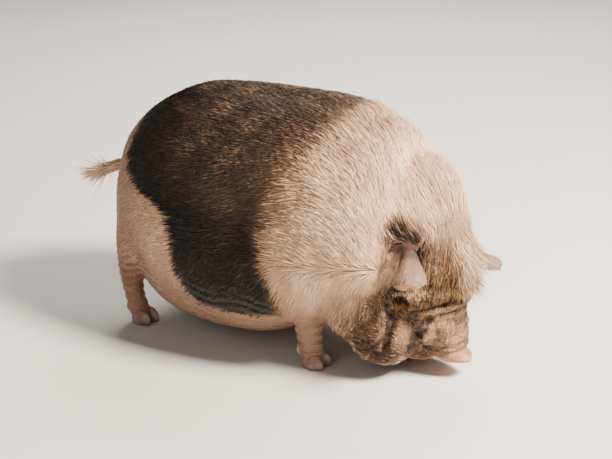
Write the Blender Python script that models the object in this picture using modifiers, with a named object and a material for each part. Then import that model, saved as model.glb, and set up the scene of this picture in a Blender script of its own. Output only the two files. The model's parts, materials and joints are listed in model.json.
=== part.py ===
"""A pot bellied pig at life size, grazing: barrel body, belly near the floor, short legs, lowered head.

The pig faces +X, its left side is +Y and the floor is z = 0. Sizes are in metres.
"""

import math
import random

import bmesh
import bpy
import numpy as np
from mathutils import Matrix, Vector
from mathutils.bvhtree import BVHTree

GAP = 0.0003
VOXEL = 0.005
FLESH_TRIANGLES = 5600
SIDES = (("right", -1), ("left", 1))
SEED = 7

# Trunk, rump to chest: x, height of the widest line, half width, rise above it, drop below it.
TRUNK = (
    (-0.337, 0.324, 0.027, 0.027, 0.027),
    (-0.319, 0.320, 0.090, 0.090, 0.099),
    (-0.268, 0.310, 0.151, 0.158, 0.194),
    (-0.211, 0.286, 0.191, 0.218, 0.236),
    (-0.135, 0.257, 0.225, 0.277, 0.236),
    (-0.036, 0.243, 0.239, 0.303, 0.229),
    (0.099, 0.250, 0.241, 0.302, 0.221),
    (0.216, 0.288, 0.225, 0.263, 0.203),
    (0.310, 0.310, 0.198, 0.214, 0.171),
    (0.383, 0.315, 0.153, 0.162, 0.135),
    (0.421, 0.310, 0.036, 0.036, 0.036),
)
BELLY_SQUARENESS = 0.86
# Masses that fill the trunk out: centre and radii. The paired ones are given for the left side.
NAPE = ((0.335, 0.024, 0.302), (0.135, 0.145, 0.167))
NAPE_PITCH = 45
THROAT = ((0.297, 0.005, 0.176), (0.117, 0.158, 0.135))
HAUNCH = ((-0.183, 0.126, 0.284), (0.097, 0.084, 0.162))
SHOULDER = ((0.207, 0.153, 0.261), (0.099, 0.072, 0.153))

# Head, crown to muzzle, in the head's own frame: x towards the nose, z out of the forehead.
HEAD_LENGTH = 0.243
NOSE_TIP = Vector((0.505, 0.018, 0.031))
HEAD_YAW, HEAD_DROP, HEAD_LEAN = 3, 78, -5
HEAD = (
    (-0.045, -0.063, 0.036, 0.036, 0.036),
    (-0.032, -0.063, 0.081, 0.072, 0.072),
    (0.018, -0.054, 0.106, 0.097, 0.108),
    (0.072, -0.054, 0.106, 0.077, 0.108),
    (0.117, -0.050, 0.085, 0.065, 0.090),
    (0.162, -0.041, 0.061, 0.054, 0.072),
    (0.200, -0.029, 0.047, 0.042, 0.052),
    (0.221, -0.022, 0.042, 0.030, 0.046),
    (0.229, -0.022, 0.034, 0.021, 0.034),
)
SKULL_SQUARENESS = 0.9
CHIN = ((0.190, 0.0, -0.088), (0.050, 0.054, 0.050))
JOWL = ((0.149, 0.072, -0.131), (0.079, 0.077, 0.079))
CHEEK = ((0.135, 0.056, -0.063), (0.063, 0.040, 0.045))
SNOUT_RADII = (0.012, 0.035, 0.033)
SNOUT_CENTRE = Vector((HEAD_LENGTH - SNOUT_RADII[0], 0, -0.012))
SNOUT_SPACE = (Vector((0.240, 0, -0.012)), (0.018, 0.049, 0.047))
NOSTRIL_RADII = (0.011, 0.0059, 0.0077)
NOSTRIL_CENTRE = Vector((0.245, 0.013, -0.015))
EYE_CENTRE = Vector((0.096, 0.081, -0.031))
EYE_RADIUS = 0.0103

# Folds and grooves of the face, in the head's frame for the left side: height, width, points of the path.
BROW_ROLL = ((0.080, 0, 0.018), (0.076, 0.045, 0.012), (0.074, 0.080, -0.018), (0.066, 0.106, -0.062))
BROW_CREASE = ((0.099, 0, 0.004), (0.097, 0.045, -0.002), (0.094, 0.078, -0.024), (0.086, 0.106, -0.070))
NOSE_ROLL = ((0.116, 0, 0.004), (0.116, 0.040, -0.006), (0.114, 0.076, -0.030), (0.108, 0.096, -0.056))
CHEEK_CREASE = ((0.081, 0.122, -0.066), (0.107, 0.126, -0.077), (0.137, 0.132, -0.087), (0.174, 0.137, -0.10))
LIP_CREASE = ((0.134, 0.076, -0.022), (0.150, 0.083, -0.036), (0.170, 0.089, -0.052), (0.215, 0.088, -0.080))
EAR_HOLLOW = ((-0.020, 0.125, -0.050), (0.020, 0.132, -0.062), (0.075, 0.124, -0.075))
MOUTH_LINE = ((0.222, 0.022, -0.046), (0.205, 0.042, -0.053), (0.180, 0.056, -0.060), (0.158, 0.070, -0.058))
MUZZLE_BUMP = ((0.165, 0.034, -0.018), (0.195, 0.032, -0.016))
FOLDS = (
    (0.013, 0.015, BROW_ROLL),
    (-0.009, 0.009, BROW_CREASE),
    (0.007, 0.010, NOSE_ROLL),
    (-0.011, 0.010, CHEEK_CREASE),
    (-0.009, 0.009, LIP_CREASE),
    (-0.007, 0.006, MOUTH_LINE),
    (-0.012, 0.014, EAR_HOLLOW),
    (0.006, 0.016, MUZZLE_BUMP),
)
# Where the wide smoothing of the trunk fades: along the head, above the jowls, and up the legs.
FACE_START, FACE_FADE, NAPE_SIDE = -0.018, 0.072, -0.18
FOOT_TOP, FOOT_FADE, FOOT_IN, FOOT_AHEAD = 0.18, 0.072, 0.10, 0.29

# Legs, thigh to pastern: x, distance from the middle, z, half length fore and aft, half width.
HIND_LEG = (
    (-0.194, 0.144, 0.261, 0.077, 0.061),
    (-0.225, 0.146, 0.180, 0.056, 0.049),
    (-0.241, 0.144, 0.126, 0.036, 0.032),
    (-0.245, 0.143, 0.086, 0.025, 0.024),
    (-0.238, 0.142, 0.050, 0.024, 0.023),
    (-0.227, 0.142, 0.023, 0.027, 0.026),
    (-0.222, 0.142, 0.011, 0.022, 0.022),
)
FORE_LEG = (
    (0.200, 0.135, 0.243, 0.068, 0.056),
    (0.205, 0.126, 0.171, 0.050, 0.045),
    (0.211, 0.120, 0.117, 0.036, 0.033),
    (0.215, 0.117, 0.072, 0.029, 0.027),
    (0.218, 0.115, 0.036, 0.028, 0.026),
    (0.221, 0.115, 0.022, 0.027, 0.026),
    (0.223, 0.115, 0.011, 0.023, 0.023),
)
LEG_CUT = 0.016
LEG_CUT_TOP = 0.172
LEG_CUT_END = -0.05
CLAW_RADII = (0.026, 0.0133, 0.023)
CLAW_SPREAD = 0.0140
CLAW_AHEAD = 0.009
CLAW_HEIGHT = 0.009
DEWCLAW_RADII = (0.008, 0.0067, 0.013)
DEWCLAW_BEHIND, DEWCLAW_HEIGHT = 0.023, 0.036

# Ears, in the head's frame for the left side: where each root lies and where each tip points.
EAR_ROOT = {-1: Vector((-0.012, 0.110, -0.034)), 1: Vector((0.026, 0.100, -0.045))}
EAR_POINTING = {-1: Vector((0.50, 0.78, 0.37)), 1: Vector((0.50, 0.42, 0.75))}
EAR_LENGTH, EAR_HALF_WIDTH, EAR_THICKNESS = 0.108, 0.048, 0.005
EAR_BEND_AT_ROOT, EAR_BEND_AT_TIP = 125, 50
EAR_SPACE = (Vector((0.000, 0.0, 0.071)), (0.034, 0.046, 0.059))

# Tail, root to the end of its flesh: place and radius. Its tassel runs on to the tip.
TAIL = (
    (-0.304, 0.000, 0.333, 0.0135),
    (-0.331, -0.004, 0.325, 0.0113),
    (-0.365, -0.014, 0.312, 0.0086),
    (-0.401, -0.027, 0.297, 0.0063),
)
TASSEL_TIP = Vector((-0.494, -0.057, 0.263))

# Long bristles as flat tapered locks. Mane and shoulders: x of each row, and how many locks go round it.
MANE_ROWS = ((0.392, 9), (0.350, 12), (0.308, 14))
SHOULDER_ROWS = ((0.212, 14), (0.174, 13), (0.136, 12))
MANE_CENTRE_HEIGHT = 0.300
MANE_ARC = (-38, 256)
MANE_TILT = 0.12
MANE_DROP = 0.75
MANE_SCATTER = {"along": 0.012, "round": 0.15, "lie": 0.2}
MANE_LOCK = {"length": 0.088, "width": 0.038, "height": 0.015}
SHOULDER_LOCK = {"length": 0.092, "width": 0.036, "height": 0.014}
FORELOCK_ROWS = ((-0.005, 5, 0.036), (0.018, 6, 0.046), (0.042, 7, 0.052), (0.062, 6, 0.048))
FORELOCK_FAN = 5
FORELOCK_LOCK = {"length": 0.066, "width": 0.020, "lift": 1.0, "bend": 0.6}
BROW_PLACES = (0.010, 0.030, 0.050, 0.103)
BROW_EDGE = (0.078, 0.024)
BROW_ARCH = 5.5
BROW_LOCK = {"length": 0.026, "width": 0.012, "lift": 0.7, "bend": 0.35}
LENGTH_SHARES = (0.85, 1.1)
TASSEL_LOCKS = 9
TASSEL_RINGS = 3
TASSEL_ROOT_REACH = 0.75
TASSEL_STEP = 0.18
TASSEL_LOCK = {"width": 0.013, "lift": 0.25, "bend": -1.1}
LOCK_SINK = 0.007
LOCK_MARGIN = 0.002
LOCK_FLATNESS = 0.22
LOCK_KNEE = 0.45
# Along a lock: how far each ring is on its way to the tip, and its half width as a share of the whole width.
LOCK_RINGS = ((0, 0.42), (0.40, 0.50), (0.74, 0.33))

# The planes that part the head from the neck and the neck from the trunk: a point, and the way forward.
HEAD_PLANE = (Vector((0.293, 0, 0.045)), Vector((0.856, 0, -0.517)))
NECK_PLANE = (Vector((0.270, 0, 0.045)), Vector((0.996, 0, 0.087)))

# Colour and roughness of each kind of sub-part.
LOOKS = {
    "torso": ((0.045, 0.038, 0.034), 0.75),
    "neck": ((0.62, 0.52, 0.42), 0.80),
    "head": ((0.33, 0.24, 0.18), 0.75),
    "snout": ((0.62, 0.34, 0.29), 0.50),
    "leg": ((0.42, 0.29, 0.24), 0.70),
    "ear": ((0.48, 0.33, 0.28), 0.65),
    "eye": ((0.015, 0.010, 0.008), 0.08),
    "claw": ((0.20, 0.15, 0.12), 0.45),
    "tail": ((0.55, 0.38, 0.24), 0.80),
}


def turned(yaw=0, pitch=0, roll=0):
    """A rotation in degrees about Z, then about the turned Y, then the turned X."""
    matrix = Matrix.Identity(4)
    for axis, degrees in (("Z", yaw), ("Y", pitch), ("X", roll)):
        matrix = matrix @ Matrix.Rotation(math.radians(degrees), 4, axis)
    return matrix


def head_frame():
    turn = turned(roll=HEAD_LEAN) @ turned(HEAD_YAW, HEAD_DROP)
    poll = NOSE_TIP - turn.to_3x3() @ Vector((HEAD_LENGTH, 0, 0))
    return Matrix.Translation(poll) @ turn


WORLD = Matrix.Identity(4)
HEAD_FRAME = head_frame()


def mirrored(point, side):
    return Vector((point[0], point[1] * side, point[2]))


def smooth_rows(rows, steps=4):
    """Catmull-Rom rows through the given ones."""
    rows = np.array(rows, float)
    last = len(rows) - 1
    out = []
    for i in range(last):
        a, b, c, d = (rows[min(max(i + k, 0), last)] for k in (-1, 0, 1, 2))
        for t in np.arange(steps) / steps:
            bend = (2 * a - 5 * b + 4 * c - d) * t**2 + (3 * b - a - 3 * c + d) * t**3
            out.append(0.5 * (2 * b + (c - a) * t + bend))
    out.append(rows[last])
    return out


def add_object(name, bm, outwards=True):
    if outwards:
        bm.normal_update()
        bmesh.ops.recalc_face_normals(bm, faces=bm.faces)
    mesh = bpy.data.meshes.new(name)
    bm.to_mesh(mesh)
    bm.free()
    obj = bpy.data.objects.new(name, mesh)
    bpy.context.scene.collection.objects.link(obj)
    return obj


def skinned(name, rings, tip=None):
    """A closed skin over rings of points, ending in a flat cap or in a point."""
    bm = bmesh.new()
    loops = [[bm.verts.new(p) for p in ring] for ring in rings]
    count = len(rings[0])
    for low, high in zip(loops, loops[1:]):
        for i in range(count):
            j = (i + 1) % count
            bm.faces.new((low[i], low[j], high[j], high[i]))
    bm.faces.new(loops[0][::-1])
    if tip is None:
        bm.faces.new(loops[-1])
    else:
        point = bm.verts.new(tip)
        for i in range(count):
            bm.faces.new((loops[-1][i], loops[-1][(i + 1) % count], point))
    return add_object(name, bm)


def barrel(name, stations, square=1.0, frame=WORLD, sides=40):
    """A body through stations across x. square under 1 fills out its lower half."""
    rings = []
    for x, z, half, rise, drop in smooth_rows(stations):
        ring = []
        for k in range(sides):
            angle = 2 * math.pi * k / sides
            power = 1 if math.sin(angle) > 0 else square
            across = math.copysign(abs(math.cos(angle)) ** power, math.cos(angle))
            up = math.copysign(abs(math.sin(angle)) ** power, math.sin(angle))
            ring.append(frame @ Vector((x, half * across, z + (rise if up > 0 else drop) * up)))
        rings.append(ring)
    return skinned(name, rings)


def column(name, stations, side, grow=0.0, sides=24, steps=4):
    """A leg through level stations: x, y, z, half length, half width."""
    rings = []
    for x, y, z, fore, half in smooth_rows(stations, steps):
        ring = []
        for k in range(sides):
            angle = 2 * math.pi * k / sides
            ring.append((x + (fore + grow) * math.cos(angle), side * y + (half + grow) * math.sin(angle), z))
        rings.append(ring)
    return skinned(name, rings)


def blob(name, centre, radii, turn=WORLD, frame=WORLD, around=32, along=20):
    """An ellipsoid with its radii along its own turned axes."""
    bm = bmesh.new()
    bmesh.ops.create_uvsphere(bm, u_segments=around, v_segments=along, radius=1)
    bm.transform(frame @ Matrix.Translation(centre) @ turn @ Matrix.Diagonal((*radii, 1)))
    return add_object(name, bm)


def slab(name, point, normal, size=2.0):
    """A block that fills the space in front of a plane."""
    bm = bmesh.new()
    bmesh.ops.create_cube(bm, size=size)
    bm.transform(Matrix.Translation((0, 0, size / 2)))
    bm.transform(Matrix.Translation(point) @ Vector(normal).to_track_quat("Z", "Y").to_matrix().to_4x4())
    return add_object(name, bm)


def evaluated(obj):
    """Applies an object's modifiers to its mesh."""
    graph = bpy.context.evaluated_depsgraph_get()
    mesh = bpy.data.meshes.new_from_object(obj.evaluated_get(graph))
    obj.modifiers.clear()
    obj.data = mesh
    return obj


def modified(obj, name, kind, **settings):
    modifier = obj.modifiers.new(name, kind)
    for key, value in settings.items():
        setattr(modifier, key, value)
    return evaluated(obj)


def boolean(obj, others, operation):
    """One Boolean with a collection of closed meshes, which are then removed."""
    tools = bpy.data.collections.new("tools")
    for other in others:
        tools.objects.link(other)
    settings = {"operation": operation, "operand_type": "COLLECTION", "collection": tools}
    modified(obj, "cut", "BOOLEAN", solver="MANIFOLD", **settings)
    for other in others:
        bpy.data.objects.remove(other)
    bpy.data.collections.remove(tools)
    return obj


def copied(obj, name):
    twin = bpy.data.objects.new(name, obj.data.copy())
    bpy.context.scene.collection.objects.link(twin)
    return twin


def spread(verts):
    """How far a set of vertices reaches, as the diagonal of its box."""
    places = np.array([vert.co for vert in verts])
    return float(np.linalg.norm(places.max(axis=0) - places.min(axis=0)))


def largest_surface(obj):
    """Keeps only the largest closed surface of a mesh."""
    bm = bmesh.new()
    bm.from_mesh(obj.data)
    unseen = set(bm.verts)
    shells = []
    while unseen:
        front = [unseen.pop()]
        shell = list(front)
        while front:
            for edge in front.pop().link_edges:
                for vert in edge.verts:
                    if vert in unseen:
                        unseen.remove(vert)
                        front.append(vert)
                        shell.append(vert)
        shells.append(shell)
    shells.sort(key=spread)
    for shell in shells[:-1]:
        bmesh.ops.delete(bm, geom=shell, context="VERTS")
    bm.to_mesh(obj.data)
    bm.free()
    return obj


def flesh_forms():
    """The overlapping masses that make the pig before they are blended."""
    forms = [barrel("trunk", TRUNK, BELLY_SQUARENESS), barrel("skull", HEAD, SKULL_SQUARENESS, HEAD_FRAME)]
    forms.append(blob("nape", *NAPE, turned(pitch=NAPE_PITCH)))
    forms.append(blob("throat", *THROAT))
    forms.append(blob("chin", *CHIN, frame=HEAD_FRAME))
    forms.append(blob("disc", SNOUT_CENTRE, SNOUT_RADII, frame=HEAD_FRAME))
    for _, side in SIDES:
        for name, (centre, radii) in (("haunch", HAUNCH), ("shoulder", SHOULDER)):
            forms.append(blob(name, mirrored(centre, side), radii))
        for name, leg in (("hind", HIND_LEG), ("fore", FORE_LEG)):
            forms.append(column(name, leg, side))
        for name, (centre, radii) in (("jowl", JOWL), ("cheek", CHEEK)):
            forms.append(blob(name, mirrored(centre, side), radii, frame=HEAD_FRAME))
    return forms


def folded(body):
    """Presses the folds of the face into the skin, along its own normals."""
    surface = surface_of(body)
    count = len(body.data.vertices)
    points = np.empty(count * 3)
    normals = np.empty(count * 3)
    body.data.vertices.foreach_get("co", points)
    body.data.vertices.foreach_get("normal", normals)
    points = points.reshape(-1, 3)
    lift = np.zeros(count)
    for height, width, path in FOLDS:
        for _, side in SIDES:
            nearest = np.full(count, np.inf)
            for row in smooth_rows(path, 8):
                place, *_ = surface.find_nearest(HEAD_FRAME @ mirrored(row, side))
                nearest = np.minimum(nearest, ((points - np.array(place)) ** 2).sum(axis=1))
            lift += height * np.exp(-nearest / width**2)
    points += normals.reshape(-1, 3) * lift[:, None]
    body.data.vertices.foreach_set("co", points.ravel())
    body.data.update()
    return body


def weigh(body, name, share_of):
    """A vertex group whose weight is a function of the place in the world and in the head's frame."""
    group = body.vertex_groups.new(name=name)
    to_head = HEAD_FRAME.inverted()
    for vert in body.data.vertices:
        group.add((vert.index,), share_of(vert.co, to_head @ vert.co), "REPLACE")


def loose_share(place, in_head):
    """1 on the trunk, fading to 0 on the face and the feet, for the wide smoothing."""
    face = (in_head.x - FACE_START) / FACE_FADE if in_head.z > NAPE_SIDE else 0
    below = abs(place.y) > FOOT_IN and place.x < FOOT_AHEAD
    foot = (FOOT_TOP - place.z) / FOOT_FADE if below else 0
    return 1 - min(max(face, foot, 0), 1)


def flesh():
    """One smooth closed skin over the forms, with the folds of the face, in few triangles."""
    bm = bmesh.new()
    for form in flesh_forms():
        bm.from_mesh(form.data)
        bpy.data.objects.remove(form)
    body = add_object("flesh", bm, outwards=False)
    largest_surface(modified(body, "one skin", "REMESH", mode="VOXEL", voxel_size=VOXEL))
    modified(body, "soften", "SMOOTH", factor=0.5, iterations=14)
    weigh(body, "loose", loose_share)
    modified(body, "blend", "SMOOTH", factor=0.5, iterations=160, vertex_group="loose")
    body.vertex_groups.clear()
    folded(body)
    return modified(body, "thin", "DECIMATE", ratio=FLESH_TRIANGLES / (2 * len(body.data.polygons)))


def tube(name, path, sides=8, tip=None):
    """A round tube through rows of place and radius."""
    rows = smooth_rows(path, 3)
    rings = []
    for i, row in enumerate(rows):
        before, after = rows[max(i - 1, 0)], rows[min(i + 1, len(rows) - 1)]
        turn = Vector(after[:3] - before[:3]).to_track_quat("Z", "Y").to_matrix()
        angles = [2 * math.pi * k / sides for k in range(sides)]
        spokes = [turn @ Vector((math.cos(angle), math.sin(angle), 0)) for angle in angles]
        rings.append([Vector(row[:3]) + spoke * row[3] for spoke in spokes])
    return skinned(name, rings, tip)


def ear_frame(side):
    """The ear's own frame: z along the ear, x towards its opening."""
    root = mirrored(EAR_ROOT[side], side)
    along = mirrored(EAR_POINTING[side], side).normalized()
    across = along.cross(Vector((1, 0, 0))).normalized()
    turn = Matrix((across.cross(along), across, along)).transposed().to_4x4()
    return HEAD_FRAME @ Matrix.Translation(root) @ turn


def ear_leaf(side, rows=7, columns=8):
    """A cupped leaf: each row is an arc that opens out from a rolled base to a flatter tip."""
    bm = bmesh.new()
    frame = ear_frame(side)
    grid = []
    for i in range(rows):
        u = i / (rows - 1)
        half = EAR_HALF_WIDTH * (0.08 + (0.56 + 0.52 * u) * math.sqrt(1 - u**4))
        bend = math.radians(EAR_BEND_AT_ROOT + (EAR_BEND_AT_TIP - EAR_BEND_AT_ROOT) * u)
        row = []
        for j in range(columns):
            angle = bend * (2 * j / (columns - 1) - 1)
            radius = half / bend
            place = (radius * (0.5 - math.cos(angle)), radius * math.sin(angle), EAR_LENGTH * u)
            row.append(bm.verts.new(frame @ Vector(place)))
        grid.append(row)
    for low, high in zip(grid, grid[1:]):
        for j in range(columns - 1):
            bm.faces.new((low[j], low[j + 1], high[j + 1], high[j]))
    leaf = add_object("leaf", bm)
    return modified(leaf, "thickness", "SOLIDIFY", thickness=EAR_THICKNESS, offset=0)


def foot(name, leg, side):
    """The claws of one foot: name, centre and radii of each."""
    x, y, *_ = leg[-1]
    claws = []
    for label, way in (("outer", 1), ("inner", -1)):
        across = side * (y + way * CLAW_SPREAD)
        claws.append((f"{name}_{label}_claw", (x + CLAW_AHEAD, across, CLAW_HEIGHT), CLAW_RADII))
        claws.append((f"{name}_{label}_dewclaw", (x - DEWCLAW_BEHIND, across, DEWCLAW_HEIGHT), DEWCLAW_RADII))
    return claws


def grown(radii, by=GAP):
    return [r + by for r in radii]


def claw_blob(name, centre, radii, grow=0.0):
    around, along = (8, 5) if "dew" in name else (10, 6)
    return blob(name, centre, grown(radii, grow), around=around, along=along)


def hoof(name, centre, radii):
    return boolean(claw_blob(name, centre, radii), [slab("floor", (0, 0, 0), (0, 0, -1))], "DIFFERENCE")


def leg_column(leg, side, grow):
    """The space that a leg fills below its cut, a little wider than the leg itself."""
    rows = [row for row in leg if row[2] < LEG_CUT_TOP]
    top = (rows[0][0], rows[0][1], LEG_CUT_TOP + grow, rows[0][3], rows[0][4])
    end = (*rows[-1][:2], LEG_CUT_END, *rows[-1][3:])
    return column("space", (top, *rows[1:], end), side, LEG_CUT + grow, sides=12, steps=1)


def part_off(body, name, space_of):
    """Takes what lies in a space off the body as a node of its own, and leaves the gap."""
    node = boolean(copied(body, name), [space_of(0)], "INTERSECT")
    boolean(body, [space_of(GAP)], "DIFFERENCE")
    return largest_surface(node)


def round_space(frame, shape):
    """A function that makes an ellipsoid of space, grown by the given amount."""
    centre, radii = shape
    return lambda grow: blob("space", centre, grown(radii, grow), frame=frame, around=14, along=9)


def flat_space(plane):
    point, normal = plane
    return lambda grow: slab("space", point - normal * grow, normal)


def coloured(node):
    """Gives a node the material of its kind."""
    kind = next(kind for kind in LOOKS if kind in node.name)
    material = bpy.data.materials.get(kind) or bpy.data.materials.new(kind)
    colour, roughness = LOOKS[kind]
    material.use_nodes = True
    shader = material.node_tree.nodes["Principled BSDF"]
    shader.inputs["Base Color"].default_value = (*colour, 1)
    shader.inputs["Roughness"].default_value = roughness
    shader.inputs["Metallic"].default_value = 0
    node.data.materials.clear()
    node.data.materials.append(material)
    for face in node.data.polygons:
        face.use_smooth = True


def feet(legs):
    """The claws and dewclaws as nodes, with room for each cut in its leg."""
    nodes = []
    for name, leg, side in legs:
        claws = foot(name, leg, side)
        shaft = bpy.data.objects[f"{name}_leg"]
        boolean(shaft, [claw_blob(f"{claw[0]}_room", *claw[1:], GAP) for claw in claws], "DIFFERENCE")
        largest_surface(shaft)
        nodes += [hoof(*claw) for claw in claws]
    return nodes


def eyes(head):
    """Eyeballs in sockets."""
    nodes = []
    radii = [EYE_RADIUS] * 3
    for label, side in SIDES:
        centre = mirrored(EYE_CENTRE, side)
        socket = blob("socket", centre, grown(radii), frame=HEAD_FRAME, around=10, along=7)
        boolean(head, [socket], "DIFFERENCE")
        nodes.append(blob(f"{label}_eye", centre, radii, frame=HEAD_FRAME, around=10, along=7))
    return nodes


def lock_through(root, knee, tip, normal, lie, width):
    """A flat tapered lock on a curve from below its root, towards its knee, to its tip."""
    start = root - normal * LOCK_SINK - lie * LOCK_SINK
    across = lie.cross(normal).normalized()
    rings = []
    for t, breadth in LOCK_RINGS:
        middle = start * (1 - t) ** 2 + knee * 2 * t * (1 - t) + tip * t**2
        side = across * width * breadth
        depth = normal * width * breadth * LOCK_FLATNESS
        rings.append((middle + side, middle + depth, middle - side, middle - depth))
    return skinned("lock", rings, tip)


def lock(root, normal, lie, length, sizes):
    """A lock that leaves the surface at its root and bends along the lie of the coat."""
    out = (lie + normal * sizes["lift"]).normalized()
    along = (lie + normal * sizes["lift"] * sizes["bend"]).normalized()
    knee = root + out * length * LOCK_KNEE
    tip = knee + along * length * (1 - LOCK_KNEE)
    return lock_through(root, knee, tip, normal, lie, sizes["width"])


def over_surface(surface, place, height):
    """A place moved to so much above the surface under it."""
    below, normal, _, _ = surface.find_nearest(place)
    return below + normal * height


def fused(node, locks):
    """Joins locks to the node that they grow from, with any hollow between them filled."""
    return largest_surface(boolean(node, locks, "UNION"))


def surface_of(node):
    """A tree that finds the nearest or the struck place of a node's surface."""
    graph = bpy.context.evaluated_depsgraph_get()
    return BVHTree.FromObject(node, graph)


def flattened(direction, normal):
    return (direction - normal * direction.dot(normal)).normalized()


def ahead_of(plane, place):
    """How far a place lies in front of a parting plane."""
    point, normal = plane
    return (place - point).dot(normal)


def fits(place, tip, width):
    """Whether a lock keeps off the partings between the head, the neck and the trunk."""
    behind_head = ahead_of(HEAD_PLANE, place) < -width / 2
    on_trunk = ahead_of(NECK_PLANE, place) < -width / 2
    on_neck = min(ahead_of(NECK_PLANE, place), ahead_of(NECK_PLANE, tip)) > LOCK_MARGIN
    return behind_head and (on_trunk or on_neck)


def coat_lock(surface, x, angle, sizes, dice):
    """One lock of a row, laid over the surface, back along the body and down its side."""
    ray = Vector((MANE_TILT, math.cos(angle), math.sin(angle))).normalized()
    shift = dice.uniform(-MANE_SCATTER["along"], MANE_SCATTER["along"])
    place, normal, _, _ = surface.ray_cast(Vector((x + shift, 0, MANE_CENTRE_HEIGHT)) + ray, -ray)
    if place is None:
        return None
    aside = dice.uniform(-MANE_SCATTER["lie"], MANE_SCATTER["lie"])
    lie = flattened(Vector((-1, aside, -MANE_DROP * abs(math.cos(angle)))), normal)
    length = sizes["length"] * dice.uniform(*LENGTH_SHARES)
    knee = over_surface(surface, place + lie * length * LOCK_KNEE, sizes["height"])
    tip = over_surface(surface, place + lie * length, sizes["height"])
    if not fits(place, tip, sizes["width"]):
        return None
    return lock_through(place, knee, tip, normal, lie, sizes["width"])


def coat_rows(node, rows, sizes, dice):
    """Rows of locks round the body."""
    surface = surface_of(node)
    locks = []
    for x, count in rows:
        for k in range(count):
            step = k + 0.5 + dice.uniform(-MANE_SCATTER["round"], MANE_SCATTER["round"])
            angle = math.radians(MANE_ARC[0] + MANE_ARC[1] * step / count)
            locks.append(coat_lock(surface, x, angle, sizes, dice))
    return [lock for lock in locks if lock]


def forelock(head, dice):
    """Locks that fan from the crown over the brow."""
    surface = surface_of(head)
    turn = HEAD_FRAME.to_3x3()
    down = turn @ Vector((0, 0, -1))
    locks = []
    for x, count, reach in FORELOCK_ROWS:
        for k in range(count):
            step = k + 0.5 + dice.uniform(-0.2, 0.2)
            y = reach * (2 * step / count - 1)
            place, normal, _, _ = surface.ray_cast(HEAD_FRAME @ Vector((x, y, HEAD_LENGTH)), down)
            if place is None:
                continue
            lie = flattened(turn @ Vector((1, FORELOCK_FAN * y + dice.uniform(-0.15, 0.15), 0)), normal)
            length = FORELOCK_LOCK["length"] * dice.uniform(*LENGTH_SHARES)
            locks.append(lock(place, normal, lie, length, FORELOCK_LOCK))
    return locks


def brow_bristles(head, dice):
    """Short locks along the fold over the eyes."""
    surface = surface_of(head)
    turn = HEAD_FRAME.to_3x3()
    locks = []
    for _, side in SIDES:
        for y in BROW_PLACES:
            edge = Vector((BROW_EDGE[0], side * y, BROW_EDGE[1] - BROW_ARCH * y**2))
            place, normal, _, _ = surface.find_nearest(HEAD_FRAME @ edge)
            lie = flattened(turn @ Vector((1, side * dice.uniform(0.0, 0.3), 0)), normal)
            length = BROW_LOCK["length"] * dice.uniform(*LENGTH_SHARES)
            locks.append(lock(place, normal, lie, length, BROW_LOCK))
    return locks


def tail_with_tassel(torso, dice):
    """The tail in its socket, and the locks of its tassel out to the tip."""
    socket = tube("socket", [(*row[:3], row[3] + GAP) for row in TAIL])
    root = blob("root", TAIL[0][:3], [TAIL[0][3] + 4 * GAP] * 3, around=12, along=8)
    boolean(torso, [socket, root], "DIFFERENCE")
    tail = tube("tail", TAIL)
    end = Vector(TAIL[-1][:3])
    before = Vector(TAIL[-2][:3])
    along = (TASSEL_TIP - end).normalized()
    reach = (TASSEL_TIP - end).length
    locks = []
    for k in range(TASSEL_LOCKS):
        angle = 2 * math.pi * k / TASSEL_LOCKS
        ring = k % TASSEL_RINGS
        out = along.to_track_quat("Z", "Y") @ Vector((math.cos(angle), math.sin(angle), 0))
        root = end.lerp(before, TASSEL_ROOT_REACH * ring / (TASSEL_RINGS - 1)) + out * TAIL[-1][3]
        length = reach * (1 + TASSEL_STEP * ring) * dice.uniform(LENGTH_SHARES[0], 1)
        locks.append(lock(root, out, along, length, TASSEL_LOCK))
    return fused(tail, locks)


def pig():
    """Every node of the pig."""
    body = flesh()
    boolean(body, [ear_leaf(side) for _, side in SIDES], "UNION")
    kinds = (("hind", HIND_LEG), ("fore", FORE_LEG))
    legs = [(f"{label}_{where}", leg, side) for where, leg in kinds for label, side in SIDES]
    nodes = []
    for name, leg, side in legs:
        nodes.append(part_off(body, f"{name}_leg", lambda grow: leg_column(leg, side, grow)))
    for label, side in SIDES:
        nodes.append(part_off(body, f"{label}_ear", round_space(ear_frame(side), EAR_SPACE)))
    nodes.append(part_off(body, "snout", round_space(HEAD_FRAME, SNOUT_SPACE)))
    head = part_off(body, "head", flat_space(HEAD_PLANE))
    neck = part_off(body, "neck", flat_space(NECK_PLANE))
    torso = largest_surface(body)
    torso.name = "torso"
    nostrils = []
    for _, side in SIDES:
        centre = mirrored(NOSTRIL_CENTRE, side)
        nostrils.append(blob("nostril", centre, NOSTRIL_RADII, frame=HEAD_FRAME, around=10, along=7))
    boolean(bpy.data.objects["snout"], nostrils, "DIFFERENCE")
    dice = random.Random(SEED)
    nodes += feet(legs) + eyes(head) + [tail_with_tassel(torso, dice), head, neck, torso]
    fused(head, forelock(head, dice) + brow_bristles(head, dice))
    fused(neck, coat_rows(neck, MANE_ROWS, MANE_LOCK, dice))
    fused(torso, coat_rows(torso, SHOULDER_ROWS, SHOULDER_LOCK, dice))
    return nodes


def centred(nodes):
    """Moves every node so that the middle of the pig's box is over the origin and its soles are at z = 0."""
    corners = np.array([node.matrix_world @ vert.co for node in nodes for vert in node.data.vertices])
    low, high = corners.min(axis=0), corners.max(axis=0)
    shift = Vector((-(low[0] + high[0]) / 2, -(low[1] + high[1]) / 2, -low[2]))
    for node in nodes:
        node.data.transform(Matrix.Translation(shift))


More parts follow.
